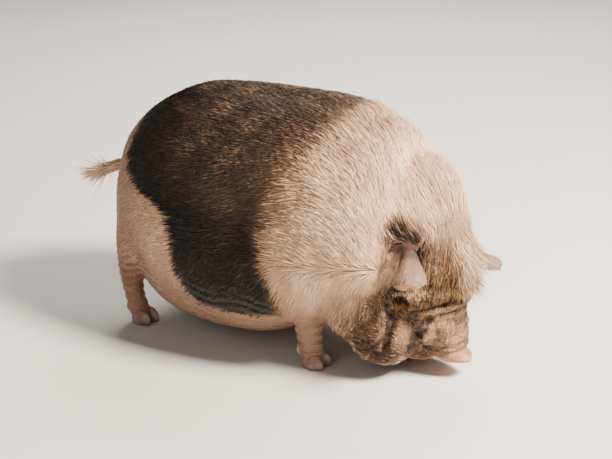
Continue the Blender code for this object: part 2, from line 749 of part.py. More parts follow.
def main():
    for obj in list(bpy.data.objects):
        bpy.data.objects.remove(obj)
    nodes = pig()
    centred(nodes)
    home = bpy.data.collections.new("pot_bellied_pig")
    bpy.context.scene.collection.children.link(home)
    for node in nodes:
        bpy.context.scene.collection.objects.unlink(node)
        home.objects.link(node)
        coloured(node)


main()
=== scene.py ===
"""The looks of a life-size grazing pot bellied pig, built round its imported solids.

The pig faces +X, its left side is +Y and the floor is z = 0. Sizes are in metres.
"""

import json
import math

import bmesh
import bpy
import numpy as np
from bpy.props import FloatProperty, FloatVectorProperty, IntProperty, PointerProperty
from mathutils import Matrix, Vector
from mathutils.bvhtree import BVHTree

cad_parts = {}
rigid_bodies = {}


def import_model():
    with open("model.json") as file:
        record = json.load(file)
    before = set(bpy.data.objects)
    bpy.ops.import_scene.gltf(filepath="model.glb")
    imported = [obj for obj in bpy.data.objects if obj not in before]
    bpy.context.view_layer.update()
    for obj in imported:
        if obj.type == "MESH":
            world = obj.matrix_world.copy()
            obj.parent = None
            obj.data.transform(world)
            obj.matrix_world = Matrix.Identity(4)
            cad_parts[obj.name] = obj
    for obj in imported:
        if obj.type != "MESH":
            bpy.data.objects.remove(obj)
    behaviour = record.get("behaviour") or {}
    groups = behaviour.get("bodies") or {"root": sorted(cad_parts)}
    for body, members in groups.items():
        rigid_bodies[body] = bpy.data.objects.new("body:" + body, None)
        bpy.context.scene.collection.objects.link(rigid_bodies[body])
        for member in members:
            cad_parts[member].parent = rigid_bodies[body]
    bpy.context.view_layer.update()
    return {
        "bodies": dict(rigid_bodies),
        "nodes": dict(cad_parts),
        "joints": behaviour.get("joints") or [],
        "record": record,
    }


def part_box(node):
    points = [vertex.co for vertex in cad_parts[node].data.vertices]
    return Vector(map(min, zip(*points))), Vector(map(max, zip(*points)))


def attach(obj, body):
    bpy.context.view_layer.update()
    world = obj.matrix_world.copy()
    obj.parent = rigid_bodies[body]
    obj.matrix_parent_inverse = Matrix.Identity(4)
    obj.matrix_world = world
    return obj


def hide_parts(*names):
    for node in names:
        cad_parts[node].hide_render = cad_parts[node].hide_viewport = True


bl_info = {
    "name": "Pot Bellied Pig",
    "version": (1, 0, 0),
    "blender": (4, 5, 0),
    "location": "View3D > Sidebar > Pig",
    "description": "Skin, bristles, eyes, claws and studio for a life-size pot bellied pig",
    "category": "Object",
}

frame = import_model()

BODY = "root"
COAT_MAP = "OFBake"
COAT_LIMIT = 198000
PATCH = 0.003
VOXEL = 0.0036
FLOOR_GAP = 0.0006
SIDES = (("right", -1), ("left", 1))

# Trunk, rump to chest: x, height of the widest line, half width, rise above it, drop below it.
TRUNK = (
    (-0.337, 0.324, 0.027, 0.027, 0.027),
    (-0.319, 0.320, 0.090, 0.090, 0.099),
    (-0.268, 0.310, 0.151, 0.158, 0.194),
    (-0.211, 0.286, 0.191, 0.218, 0.236),
    (-0.135, 0.257, 0.225, 0.277, 0.236),
    (-0.036, 0.243, 0.239, 0.303, 0.229),
    (0.099, 0.250, 0.241, 0.302, 0.221),
    (0.216, 0.288, 0.225, 0.263, 0.203),
    (0.310, 0.310, 0.198, 0.214, 0.171),
    (0.383, 0.315, 0.153, 0.162, 0.135),
    (0.421, 0.310, 0.036, 0.036, 0.036),
)
BELLY_SQUARENESS = 0.86
# Masses that fill the trunk out: centre and radii. The paired ones are given for the left side.
NAPE = ((0.335, 0.024, 0.302), (0.135, 0.145, 0.167))
NAPE_PITCH = 45
THROAT = ((0.297, 0.005, 0.176), (0.117, 0.158, 0.135))
HAUNCH = ((-0.183, 0.126, 0.284), (0.097, 0.084, 0.162))
SHOULDER = ((0.207, 0.153, 0.261), (0.099, 0.072, 0.153))

# Head, crown to muzzle, in the head's own frame: x towards the nose, z out of the forehead.
HEAD_LENGTH = 0.243
NOSE_TIP = Vector((0.505, 0.018, 0.031))
HEAD_YAW, HEAD_DROP, HEAD_LEAN = 3, 78, -5
HEAD = (
    (-0.045, -0.063, 0.036, 0.036, 0.036),
    (-0.032, -0.063, 0.081, 0.072, 0.072),
    (0.018, -0.054, 0.106, 0.097, 0.108),
    (0.072, -0.054, 0.106, 0.077, 0.108),
    (0.117, -0.050, 0.085, 0.065, 0.090),
    (0.162, -0.041, 0.061, 0.054, 0.072),
    (0.200, -0.029, 0.047, 0.042, 0.052),
    (0.221, -0.022, 0.042, 0.030, 0.046),
    (0.229, -0.022, 0.034, 0.021, 0.034),
)
SKULL_SQUARENESS = 0.9
CHIN = ((0.190, 0.0, -0.088), (0.050, 0.054, 0.050))
JOWL = ((0.149, 0.072, -0.131), (0.079, 0.077, 0.079))
CHEEK = ((0.135, 0.056, -0.063), (0.063, 0.040, 0.045))
SNOUT_RADII = (0.012, 0.035, 0.033)
SNOUT_CENTRE = Vector((HEAD_LENGTH - SNOUT_RADII[0], 0, -0.012))
NOSTRIL_RADII = (0.011, 0.0059, 0.0077)
NOSTRIL_CENTRE = Vector((0.245, 0.013, -0.015))
EYE_CENTRE = Vector((0.096, 0.081, -0.031))
EYE_RADIUS = 0.0103

# Folds and grooves of the face, in the head's frame for the left side: height, width, points of the path.
BROW_ROLL = ((0.080, 0, 0.018), (0.076, 0.045, 0.012), (0.074, 0.080, -0.018), (0.066, 0.106, -0.062))
BROW_CREASE = ((0.099, 0, 0.004), (0.097, 0.045, -0.002), (0.094, 0.078, -0.024), (0.086, 0.106, -0.070))
NOSE_ROLL = ((0.116, 0, 0.004), (0.116, 0.040, -0.006), (0.114, 0.076, -0.030), (0.108, 0.096, -0.056))
CHEEK_CREASE = ((0.081, 0.122, -0.066), (0.107, 0.126, -0.077), (0.137, 0.132, -0.087), (0.174, 0.137, -0.10))
LIP_CREASE = ((0.134, 0.076, -0.022), (0.150, 0.083, -0.036), (0.170, 0.089, -0.052), (0.215, 0.088, -0.080))
EAR_HOLLOW = ((-0.020, 0.125, -0.050), (0.020, 0.132, -0.062), (0.075, 0.124, -0.075))
MOUTH_LINE = ((0.222, 0.022, -0.046), (0.205, 0.042, -0.053), (0.180, 0.056, -0.060), (0.158, 0.070, -0.058))
MUZZLE_BUMP = ((0.165, 0.034, -0.018), (0.195, 0.032, -0.016))
FOLDS = (
    (0.013, 0.015, BROW_ROLL),
    (-0.009, 0.009, BROW_CREASE),
    (0.007, 0.010, NOSE_ROLL),
    (-0.011, 0.010, CHEEK_CREASE),
    (-0.009, 0.009, LIP_CREASE),
    (-0.007, 0.006, MOUTH_LINE),
    (-0.012, 0.014, EAR_HOLLOW),
    (0.006, 0.016, MUZZLE_BUMP),
)
# Finer creases that only the skin shows.
CREASES = (
    (-0.004, 0.005, ((0.128, 0.000, 0.020), (0.130, 0.030, 0.010), (0.128, 0.060, -0.008))),
    (-0.003, 0.004, ((0.142, 0.000, 0.018), (0.144, 0.026, 0.008), (0.142, 0.048, -0.006))),
    (-0.004, 0.004, ((0.106, 0.052, -0.002), (0.112, 0.082, -0.022), (0.112, 0.100, -0.050))),
    (-0.004, 0.005, ((0.089, 0.020, 0.012), (0.092, 0.055, 0.000), (0.088, 0.086, -0.026), (0.084, 0.108, -0.062))),
    (-0.006, 0.006, CHEEK_CREASE),
    (-0.005, 0.005, LIP_CREASE),
    (-0.005, 0.008, EAR_HOLLOW),
    (-0.004, 0.004, ((0.212, 0.000, 0.010), (0.214, 0.026, 0.002), (0.212, 0.042, -0.018), (0.208, 0.044, -0.034))),
    (-0.003, 0.003, ((0.200, 0.000, 0.016), (0.202, 0.030, 0.006), (0.200, 0.046, -0.016))),
    (-0.003, 0.006, ((0.150, 0.122, -0.110), (0.180, 0.118, -0.130), (0.200, 0.100, -0.150))),
    (-0.003, 0.006, ((0.100, 0.136, -0.105), (0.140, 0.146, -0.125), (0.180, 0.140, -0.140))),
)

# Legs, thigh to pastern: x, distance from the middle, z, half length fore and aft, half width.
HIND_LEG = (
    (-0.194, 0.144, 0.261, 0.077, 0.061),
    (-0.225, 0.146, 0.180, 0.056, 0.049),
    (-0.241, 0.144, 0.126, 0.036, 0.032),
    (-0.245, 0.143, 0.086, 0.025, 0.024),
    (-0.238, 0.142, 0.050, 0.024, 0.023),
    (-0.227, 0.142, 0.023, 0.027, 0.026),
    (-0.222, 0.142, 0.011, 0.022, 0.022),
)
FORE_LEG = (
    (0.200, 0.135, 0.243, 0.068, 0.056),
    (0.205, 0.126, 0.171, 0.050, 0.045),
    (0.211, 0.120, 0.117, 0.036, 0.033),
    (0.215, 0.117, 0.072, 0.029, 0.027),
    (0.218, 0.115, 0.036, 0.028, 0.026),
    (0.221, 0.115, 0.022, 0.027, 0.026),
    (0.223, 0.115, 0.011, 0.023, 0.023),
)
LEGS = [(f"{label}_{where}", leg, side) for where, leg in (("hind", HIND_LEG), ("fore", FORE_LEG)) for label, side in SIDES]
CLAW_RADII = (0.026, 0.0133, 0.023)
CLAW_SPREAD = 0.0140
CLAW_AHEAD = 0.009
CLAW_HEIGHT = 0.009
DEWCLAW_RADII = (0.008, 0.0067, 0.013)
DEWCLAW_BEHIND, DEWCLAW_HEIGHT = 0.023, 0.036

# Ears, in the head's frame for the left side: where each root lies and where each tip points.
EAR_ROOT = {-1: Vector((-0.012, 0.110, -0.034)), 1: Vector((0.026, 0.100, -0.045))}
EAR_POINTING = {-1: Vector((0.50, 0.78, 0.37)), 1: Vector((0.50, 0.42, 0.75))}
EAR_LENGTH, EAR_HALF_WIDTH, EAR_THICKNESS = 0.108, 0.048, 0.0042
EAR_BEND_AT_ROOT, EAR_BEND_AT_TIP = 125, 50

# Tail, root to the end of its flesh: place and radius. Its tassel runs on to the tip.
TAIL = (
    (-0.304, 0.000, 0.333, 0.0135),
    (-0.331, -0.004, 0.325, 0.0113),
    (-0.365, -0.014, 0.312, 0.0086),
    (-0.401, -0.027, 0.297, 0.0063),
)
TASSEL_TIP = Vector((-0.494, -0.057, 0.263))

# The planes between head and neck and between neck and trunk: a point, and the way forward.
HEAD_PLANE = (Vector((0.293, 0, 0.045)), Vector((0.856, 0, -0.517)))
NECK_PLANE = (Vector((0.270, 0, 0.045)), Vector((0.996, 0, 0.087)))


def turned(yaw=0, pitch=0, roll=0):
    """A rotation in degrees about Z, then about the turned Y, then the turned X."""
    matrix = Matrix.Identity(4)
    for axis, degrees in (("Z", yaw), ("Y", pitch), ("X", roll)):
        matrix = matrix @ Matrix.Rotation(math.radians(degrees), 4, axis)
    return matrix


def head_frame():
    turn = turned(roll=HEAD_LEAN) @ turned(HEAD_YAW, HEAD_DROP)
    poll = NOSE_TIP - turn.to_3x3() @ Vector((HEAD_LENGTH, 0, 0))
    return Matrix.Translation(poll) @ turn


def mirrored(point, side):
    return Vector((point[0], point[1] * side, point[2]))


WORLD = Matrix.Identity(4)
HEAD_FRAME = head_frame()
TO_HEAD = np.array(HEAD_FRAME.inverted())


def packed_shift():
    """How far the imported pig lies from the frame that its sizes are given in."""
    low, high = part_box("right_eye")
    return (low + high) / 2 - HEAD_FRAME @ mirrored(EYE_CENTRE, -1)


SHIFT = packed_shift()


# Meshes


def smooth_rows(rows, steps=4):
    """Catmull-Rom rows through the given ones."""
    rows = np.array(rows, float)
    last = len(rows) - 1
    out = []
    for i in range(last):
        a, b, c, d = (rows[min(max(i + k, 0), last)] for k in (-1, 0, 1, 2))
        for t in np.arange(steps) / steps:
            bend = (2 * a - 5 * b + 4 * c - d) * t**2 + (3 * b - a - 3 * c + d) * t**3
            out.append(0.5 * (2 * b + (c - a) * t + bend))
    out.append(rows[last])
    return out


def add_object(name, bm, outwards=True):
    if outwards:
        bm.normal_update()
        bmesh.ops.recalc_face_normals(bm, faces=bm.faces)
    mesh = bpy.data.meshes.new(name)
    bm.to_mesh(mesh)
    bm.free()
    obj = bpy.data.objects.new(name, mesh)
    bpy.context.scene.collection.objects.link(obj)
    return obj


def skinned(name, rings):
    """A closed skin over rings of points, with flat caps."""
    bm = bmesh.new()
    loops = [[bm.verts.new(p) for p in ring] for ring in rings]
    count = len(rings[0])
    for low, high in zip(loops, loops[1:]):
        for i in range(count):
            j = (i + 1) % count
            bm.faces.new((low[i], low[j], high[j], high[i]))
    bm.faces.new(loops[0][::-1])
    bm.faces.new(loops[-1])
    return add_object(name, bm)


def barrel(name, stations, square=1.0, frame=WORLD, sides=48):
    """A body through stations across x. square under 1 fills out its lower half."""
    rings = []
    for x, z, half, rise, drop in smooth_rows(stations, 6):
        ring = []
        for k in range(sides):
            angle = 2 * math.pi * k / sides
            power = 1 if math.sin(angle) > 0 else square
            across = math.copysign(abs(math.cos(angle)) ** power, math.cos(angle))
            up = math.copysign(abs(math.sin(angle)) ** power, math.sin(angle))
            ring.append(frame @ Vector((x, half * across, z + (rise if up > 0 else drop) * up)))
        rings.append(ring)
    return skinned(name, rings)


def column(name, stations, side, sides=28):
    """A leg through level stations: x, y, z, half length, half width."""
    rings = []
    for x, y, z, fore, half in smooth_rows(stations, 6):
        angles = [2 * math.pi * k / sides for k in range(sides)]
        rings.append([(x + fore * math.cos(a), side * y + half * math.sin(a), z) for a in angles])
    return skinned(name, rings)


def blob(name, centre, radii, turn=WORLD, frame=WORLD, around=40, along=24):
    """An ellipsoid with its radii along its own turned axes."""
    bm = bmesh.new()
    bmesh.ops.create_uvsphere(bm, u_segments=around, v_segments=along, radius=1)
    bm.transform(frame @ Matrix.Translation(centre) @ turn @ Matrix.Diagonal((*radii, 1)))
    return add_object(name, bm)


def tube(name, path, sides=16):
    """A round tube through rows of place and radius."""
    rows = smooth_rows(path, 5)
    rings = []
    for i, row in enumerate(rows):
        before, after = rows[max(i - 1, 0)], rows[min(i + 1, len(rows) - 1)]
        turn = Vector(after[:3] - before[:3]).to_track_quat("Z", "Y").to_matrix()
        angles = [2 * math.pi * k / sides for k in range(sides)]
        rings.append([Vector(row[:3]) + turn @ Vector((math.cos(a), math.sin(a), 0)) * row[3] for a in angles])
    return skinned(name, rings)


def modified(obj, name, kind, **settings):
    """Adds a modifier and applies it to the object's mesh."""
    modifier = obj.modifiers.new(name, kind)
    for key, value in settings.items():
        setattr(modifier, key, value)
    graph = bpy.context.evaluated_depsgraph_get()
    mesh = bpy.data.meshes.new_from_object(obj.evaluated_get(graph))
    obj.modifiers.clear()
    obj.data = mesh
    return obj


def joined(name, objects):
    """One object from several."""
    bm = bmesh.new()
    for obj in objects:
        bm.from_mesh(obj.data)
        bpy.data.objects.remove(obj)
    return add_object(name, bm, outwards=False)


def vertex_places(obj):
    places = np.empty(len(obj.data.vertices) * 3)
    obj.data.vertices.foreach_get("co", places)
    return places.reshape(-1, 3)


def vertex_normals(obj):
    normals = np.empty(len(obj.data.vertices) * 3)
    obj.data.vertices.foreach_get("normal", normals)
    return normals.reshape(-1, 3)


def moved(obj, places):
    obj.data.vertices.foreach_set("co", places.ravel())
    obj.data.update()
    return obj


def surface_of(obj):
    """A tree that finds the nearest place on a mesh."""
    bm = bmesh.new()
    bm.from_mesh(obj.data)
    tree = BVHTree.FromBMesh(bm)
    bm.free()
    return tree


def unit(vectors):
    return vectors / np.maximum(np.linalg.norm(vectors, axis=1, keepdims=True), 1e-9)


def ease(values, low, high):
    """0 below low, 1 above high, smooth between. low may be the higher one."""
    t = np.clip((values - low) / (high - low), 0, 1)
    return t * t * (3 - 2 * t)


def in_head(places):
    return places @ TO_HEAD[:3, :3].T + TO_HEAD[:3, 3]


def from_head(directions):
    return directions @ TO_HEAD[:3, :3]


def ahead_of(plane, places):
    """How far places lie in front of a parting plane."""
    point, normal = (np.array(v) for v in plane)
    return (places - point) @ normal


def dealt(piece, slot, *nodes):
    """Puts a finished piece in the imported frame, and says what it rides on and stands for."""
    piece.data.transform(Matrix.Translation(SHIFT))
    piece.data.polygons.foreach_set("use_smooth", np.ones(len(piece.data.polygons), bool))
    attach(piece, BODY)
    if nodes:
        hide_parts(*nodes)
    return piece


# Shader maths


class Wire:
    """An output socket that sums, products and the like can be written with."""

    def __init__(self, sheet, socket):
        self.sheet = sheet
        self.socket = socket

    def math(self, operation, first, second=0.0):
        return self.sheet.add("ShaderNodeMath", {"operation": operation}, {0: first, 1: second})

    def __add__(self, other):
        return self.math("ADD", self, other)

    def __sub__(self, other):
        return self.math("SUBTRACT", self, other)

    def __rsub__(self, other):
        return self.math("SUBTRACT", other, self)

    def __mul__(self, other):
        return self.math("MULTIPLY", self, other)

    def __pow__(self, other):
        return self.math("POWER", self, other)

    __radd__ = __add__
    __rmul__ = __mul__

    def clipped(self):
        return self.sheet.add("ShaderNodeClamp", {}, {0: self})

    def most(self, other):
        return self.math("MAXIMUM", self, other)

    def least(self, other):
        return self.math("MINIMUM", self, other)

    def size(self):
        return self.math("ABSOLUTE", self)

    def rise(self, low, high):
        """0 below low, 1 above high, smooth between."""
        settings = {"interpolation_type": "SMOOTHSTEP"}
        if low < high:
            return self.sheet.add("ShaderNodeMapRange", settings, {0: self, 1: low, 2: high, 3: 0.0, 4: 1.0})
        return self.sheet.add("ShaderNodeMapRange", settings, {0: self, 1: high, 2: low, 3: 1.0, 4: 0.0})


class Sheet:
    """A material being wired up."""

    def __init__(self, name):
        self.material = bpy.data.materials.new(name)
        self.material.use_nodes = True
        self.tree = self.material.node_tree
        self.shader = self.tree.nodes["Principled BSDF"]

    def add(self, kind, settings, values, output=0):
        """A node of a kind, its settings made first, then its sockets filled with numbers or wires."""
        node = self.tree.nodes.new(kind)
        for key, value in settings.items():
            if key == "stops":
                self.set_stops(node.color_ramp, value)
            else:
                setattr(node, key, value)
        for key, value in values.items():
            self.fill(node.inputs[key], value)
        return Wire(self, node.outputs[output])

    def set_stops(self, ramp, stops):
        while len(ramp.elements) < len(stops):
            ramp.elements.new(1.0)
        for element, (place, value) in zip(ramp.elements, stops):
            element.position = place
            element.color = (value, value, value, 1) if isinstance(value, float) else (*value, 1)

    def fill(self, socket, value):
        if isinstance(value, Wire):
            self.tree.links.new(value.socket, socket)
        elif socket.type == "RGBA":
            socket.default_value = (*value[:3], 1)
        else:
            socket.default_value = value

    def set(self, name, value):
        self.fill(self.shader.inputs[name], value)

    def mix(self, share, first, second):
        """A colour between two."""
        return self.add("ShaderNodeMix", {"data_type": "RGBA"}, {0: share, 6: first, 7: second}, 2)

    def noise(self, place, scale, detail=3.0, roughness=0.55):
        return self.add("ShaderNodeTexNoise", {}, {"Vector": place, "Scale": scale, "Detail": detail, "Roughness": roughness})

    def vector(self, operation, first, second, output=0):
        return self.add("ShaderNodeVectorMath", {"operation": operation}, {0: first, 1: second}, output)

    def split(self, place):
        node = self.add("ShaderNodeSeparateXYZ", {}, {0: place}).socket.node
        return [Wire(self, node.outputs[i]) for i in range(3)]

    def stretched(self, place, stretch):
        return self.vector("MULTIPLY", place, stretch)

    def object_place(self):
        """The place on the pig, in the frame that its sizes are given in."""
        found = self.add("ShaderNodeTexCoord", {}, {}, "Object")
        return self.vector("SUBTRACT", found, SHIFT)

    def stored(self, name, output="Fac"):
        return self.add("ShaderNodeAttribute", {"attribute_name": name}, {}, output)

    def bump(self, height, distance, strength=1.0, under=None):
        values = {"Height": height, "Distance": distance, "Strength": strength}
        if under:
            values["Normal"] = under
        return self.add("ShaderNodeBump", {}, values)

    def head_place(self, place):
        """The x, y and z of a place in the head's own frame."""
        return [self.vector("DOT_PRODUCT", place, TO_HEAD[i, :3], 1) + float(TO_HEAD[i, 3]) for i in range(3)]


# Where the dark back begins and ends at each height, as shares of these limits.
MARK_LOW, MARK_HIGH = -0.36, 0.44
MARK_TOP = 0.60
DARK_REAR = ((0.100, 0.200), (0.118, 0.000), (0.150, -0.030), (0.202, -0.050), (0.264, -0.062), (0.311, -0.080), (0.330, -0.115), (0.349, -0.171), (0.384, -0.204), (0.423, -0.242), (0.500, -0.270), (0.560, -0.290))
DARK_FRONT = ((0.100, 0.150), (0.132, 0.196), (0.170, 0.208), (0.254, 0.198), (0.317, 0.211), (0.379, 0.236), (0.424, 0.246), (0.470, 0.258), (0.508, 0.285), (0.545, 0.345))


def edge_stops(edge):
    return [(z / MARK_TOP, (x - MARK_LOW) / (MARK_HIGH - MARK_LOW)) for z, x in edge]


def edge_line(sheet, height, edge):
    """The x of a marking's edge at a height."""
    line = sheet.add("ShaderNodeValToRGB", {"stops": edge_stops(edge)}, {0: height * (1 / MARK_TOP)})
    return line * (MARK_HIGH - MARK_LOW) + MARK_LOW


def markings(sheet, place):
    """The shares at a place of the dark back, its browner part, the face and the creases' painted shade, with the
    place's x, y and z in the body's and the head's frames.
    """
    x, y, z = sheet.split(place)
    hx, hy, hz = sheet.head_place(place)
    wander = (sheet.noise(place, 9.0, 4.0) - 0.5) * 0.07 + (sheet.noise(place, 45.0, 2.0) - 0.5) * 0.025
    rear = edge_line(sheet, z, DARK_REAR)
    front = edge_line(sheet, z, DARK_FRONT)
    behind = (x - rear + wander).rise(-0.010, 0.014)
    soft = z.rise(0.26, 0.48) * 0.075 + 0.026
    ahead = wander.math("DIVIDE", front - x + wander, soft).rise(-1.0, 1.5)
    dark = behind * ahead * z.rise(0.108, 0.126)
    brown = (x - rear - 0.06).rise(0.0, 0.24) * z.rise(0.20, 0.46)
    face_edge = hx + hz * 0.30 - hy.size() * 0.22 + (sheet.noise(place, 22.0, 3.0) - 0.5) * 0.05
    face = face_edge.rise(-0.034, 0.014) * hz.rise(-0.250, -0.170)
    # crease: 1 in the depth of the face's creases, the mask of painted shade there
    crease = sheet.stored("crease")
    return {"dark": dark, "brown": brown, "face": face, "crease": crease, "x": x, "y": y, "z": z, "hx": hx, "hy": hy, "hz": hz}


def near(sheet, marks, centre, radius, sided=True):
    """1 at a place of the head's frame, fading to 0 at the radius, on both sides."""
    hy = marks["hy"].size() if sided else marks["hy"]
    dx, dy, dz = marks["hx"] - centre[0], hy - centre[1], marks["hz"] - centre[2]
    away = (dx * dx + dy * dy + dz * dz) ** 0.5
    return away.rise(radius, radius * 0.35)


# The dark patches of the face, in the head's frame for the left side: centre, radius and strength.
DARK_PATCHES = (
    ((0.084, 0.108, -0.045), 0.030, 1.0),
    ((0.098, 0.071, -0.016), 0.020, 1.0),
    ((0.106, 0.050, 0.000), 0.017, 0.9),
    ((0.138, 0.092, -0.046), 0.032, 0.85),
    ((0.168, 0.080, -0.060), 0.028, 0.9),
    ((0.192, 0.084, -0.074), 0.030, 1.0),
    ((0.214, 0.040, -0.060), 0.036, 0.8),
    ((0.166, 0.059, -0.020), 0.013, 0.8),
    ((0.196, 0.123, -0.100), 0.036, 0.7),
    ((0.181, 0.141, -0.135), 0.036, 0.6),
    ((0.070, 0.122, -0.080), 0.040, 0.9),
    ((0.020, 0.085, 0.000), 0.050, 1.0),
    ((0.045, 0.060, 0.014), 0.036, 0.9),
    ((0.010, 0.070, 0.004), 0.036, 0.8),
    ((0.160, 0.018, 0.014), 0.020, 0.5),
)
# The dark tufts above the ears.
DARK_TUFTS = (((-0.036, 0.128, -0.036), 0.046, 1.0), ((-0.012, 0.100, -0.006), 0.040, 1.0))


def patches(sheet, marks, spots):
    """1 inside a list of round patches."""
    total = None
    for centre, radius, strength in spots:
        spot = near(sheet, marks, centre, radius) * strength
        total = total.most(spot) if total else spot
    return total


def face_dark(sheet, place, marks):
    """The black and dark brown patches of the face, with painted shade in its creases."""
    # The patches are the face's own dark colour; the crease share adds painted shade in its folds.
    dark = patches(sheet, marks, DARK_PATCHES).most(marks["crease"])
    broken = sheet.noise(place, 38.0, 4.0, 0.65).rise(0.34, 0.60)
    spots = sheet.noise(place, 90.0, 3.0, 0.6).rise(0.56, 0.68) * 0.7
    return (dark * (broken * 0.5 + 0.5) + spots).clipped()


def skin_colours(sheet, place, marks, looks):
    """The colour of bare skin all over the pig."""
    blotch = sheet.noise(place, 14.0, 4.0, 0.6)
    skin = sheet.mix(blotch.rise(0.3, 0.7), looks.pale_skin, looks.pink_skin)
    # Pinker and darker low on the body and legs: partly the pink skin's own colour, partly painted shade under the
    # body.
    skin = sheet.mix(marks["z"].rise(0.19, 0.09) * 0.55, skin, looks.pink_skin)
    skin = sheet.mix(marks["dark"], skin, looks.dark_skin)
    face = sheet.mix(sheet.noise(place, 30.0, 3.0).rise(0.35, 0.65), looks.brown_skin, looks.tan_skin)
    dark = sheet.mix(0.12, looks.dark_skin, looks.brown_skin)
    face = sheet.mix(face_dark(sheet, place, marks), face, dark)
    snout = marks["hx"].rise(0.205, 0.232) * marks["hz"].rise(-0.075, -0.050)
    skin = sheet.mix(marks["face"], skin, face)
    # Painted shade: skin darkened towards dark skin in the depth of the face's creases.
    skin = sheet.mix((marks["crease"] * 0.9).clipped(), skin, looks.dark_skin)
    return sheet.mix(snout, skin, looks.snout_skin)


def skin_material(looks):
    """Bristly skin with pores, wrinkles and the pig's markings."""
    sheet = Sheet("bristly_skin")
    place = sheet.object_place()
    marks = markings(sheet, place)
    colour = skin_colours(sheet, place, marks, looks)
    pores = sheet.noise(place, 420.0, 2.0)
    colour = sheet.mix(pores.rise(0.52, 0.75) * 0.35, colour, (0.09, 0.055, 0.04))
    sheet.set("Base Color", colour)
    sheet.set("Roughness", pores * 0.18 + 0.55)
    sheet.shader.inputs["Subsurface Weight"].default_value = 0.05
    rings = sheet.noise(sheet.stretched(place, (1.0, 1.0, 4.5)), 38.0, 3.0)
    legs = marks["z"].rise(0.20, 0.12)
    wrinkles = rings * legs + sheet.noise(sheet.stretched(place, (1.0, 1.0, 0.6)), 70.0, 4.0) * 0.5
    deep = sheet.bump(wrinkles, 0.006, 0.8)
    sheet.set("Normal", sheet.bump(pores, 0.0014, 0.7, deep))
    return sheet.material


def coat_material(name, looks):
    """Bristles that take the marking at their root, darker there and paler towards the tip."""
    sheet = Sheet(name)
    place = sheet.stored("root_place", "Vector")
    along = sheet.stored("along")
    shade = sheet.stored("shade")
    marks = markings(sheet, place)
    blotch = sheet.noise(place, 16.0, 3.0).rise(0.35, 0.7)
    cream = sheet.mix((shade * 0.8 + blotch * 0.25).clipped(), looks.cream_hair, looks.tan_hair)
    cream = sheet.mix(along.rise(-0.1, 0.45), looks.tan_hair, cream)
    # Pink hair of the rump, belly and lower flanks: partly its own colour, partly painted shade under the body and on
    # the rump turned from the light.
    under = marks["z"].rise(0.26, 0.10) * 0.8 + marks["x"].rise(-0.08, -0.22) * 0.8
    cream = sheet.mix(under.clipped(), cream, looks.pink_hair)
    dark = marks["dark"]
    between = dark * (1 - dark) * 4
    cream = sheet.mix((between * 0.75).clipped(), cream, looks.tan_hair)
    tuft = patches(sheet, marks, DARK_TUFTS) * shade.rise(0.10, 0.4)
    cream = sheet.mix(tuft.clipped(), cream, sheet.mix(shade.rise(0.4, 0.7), looks.brown_hair, looks.black_hair))
    tipped = along.rise(0.1, 0.9) * (marks["brown"] * 1.35 + 0.04) * (shade * 1.2 + 0.3) + between * 0.6
    black = sheet.mix(tipped.clipped(), looks.black_hair, looks.brown_hair)
    stray = (marks["brown"] * shade.rise(0.70, 0.90) * 0.75).clipped()
    black = sheet.mix(stray * along, black, looks.tan_hair)
    colour = sheet.mix((dark + (shade - 0.45) * 0.5).rise(0.30, 0.70), cream, black)
    grizzle = sheet.mix(shade.rise(0.25, 0.75), looks.brown_hair, looks.tan_hair)
    grizzle = sheet.mix(face_dark(sheet, place, marks), grizzle, looks.black_hair)
    # Painted shade: no pale tips in the face's creases.
    pale = shade.rise(0.66, 0.78) * along.rise(0.0, 0.5) * (1 - marks["crease"]) * 0.7
    grizzle = sheet.mix(pale.clipped(), grizzle, looks.cream_hair)
    colour = sheet.mix(marks["face"], colour, grizzle)
    # Painted shade: bristles in the face's creases darkened towards black.
    colour = sheet.mix((marks["crease"] * 0.8).clipped(), colour, looks.black_hair)
    sheet.set("Base Color", colour)
    sheet.set("Roughness", shade * 0.2 + 0.5)
    sheet.shader.inputs["Specular IOR Level"].default_value = 0.22
    return sheet.material


def fringe_material(name, looks, root_share, tip_share):
    """Long hairs, cream to black as their shade rises, darker at the root and orange tan at some tips."""
    sheet = Sheet(name)
    along = sheet.stored("along")
    shade = sheet.stored("shade")
    depth = (shade + (1 - along) * root_share).clipped()
    colour = sheet.mix(depth.rise(0.10, 0.50), looks.cream_hair, looks.tan_hair)
    colour = sheet.mix(depth.rise(0.40, 0.75), colour, looks.brown_hair)
    colour = sheet.mix(depth.rise(0.75, 1.05), colour, looks.black_hair)
    orange = along.rise(0.35, 1.0) * shade.rise(0.15, 0.45) * tip_share
    sheet.set("Base Color", sheet.mix(orange.clipped(), colour, looks.orange_hair))
    sheet.set("Roughness", shade * 0.2 + 0.5)
    sheet.shader.inputs["Specular IOR Level"].default_value = 0.25
    return sheet.material


def ear_material(looks):
    """Thin grey pink skin with fine veins, painted shade in the hollow of the cup and tan at the rim."""
    sheet = Sheet("ear_skin")
    place = sheet.object_place()
    rim = sheet.stored("rim")
    inside = sheet.stored("inside")
    blotch = sheet.noise(place, 45.0, 4.0)
    colour = sheet.mix(blotch.rise(0.40, 0.75) * 0.5, looks.ear_skin, looks.pink_skin)
    colour = sheet.mix(sheet.stored("root").rise(0.45, 0.85) * 0.75, colour, looks.dark_skin)
    # Painted shade: the faces turned into the cup darkened nearly to black.
    colour = sheet.mix(inside * 0.85, colour, (0.07, 0.04, 0.03))
    colour = sheet.mix(rim.rise(0.3, 0.9), colour, looks.tan_skin)
    sheet.set("Base Color", colour)
    sheet.set("Roughness", blotch * 0.2 + 0.5)
    fine = sheet.noise(place, 300.0, 3.0)
    veins = sheet.noise(place, 60.0, 4.0, 0.7)
    sheet.set("Normal", sheet.bump(fine, 0.0008, 0.6, sheet.bump(veins, 0.003, 0.5)))
    sheet.shader.inputs["Subsurface Weight"].default_value = 0.08
    return sheet.material


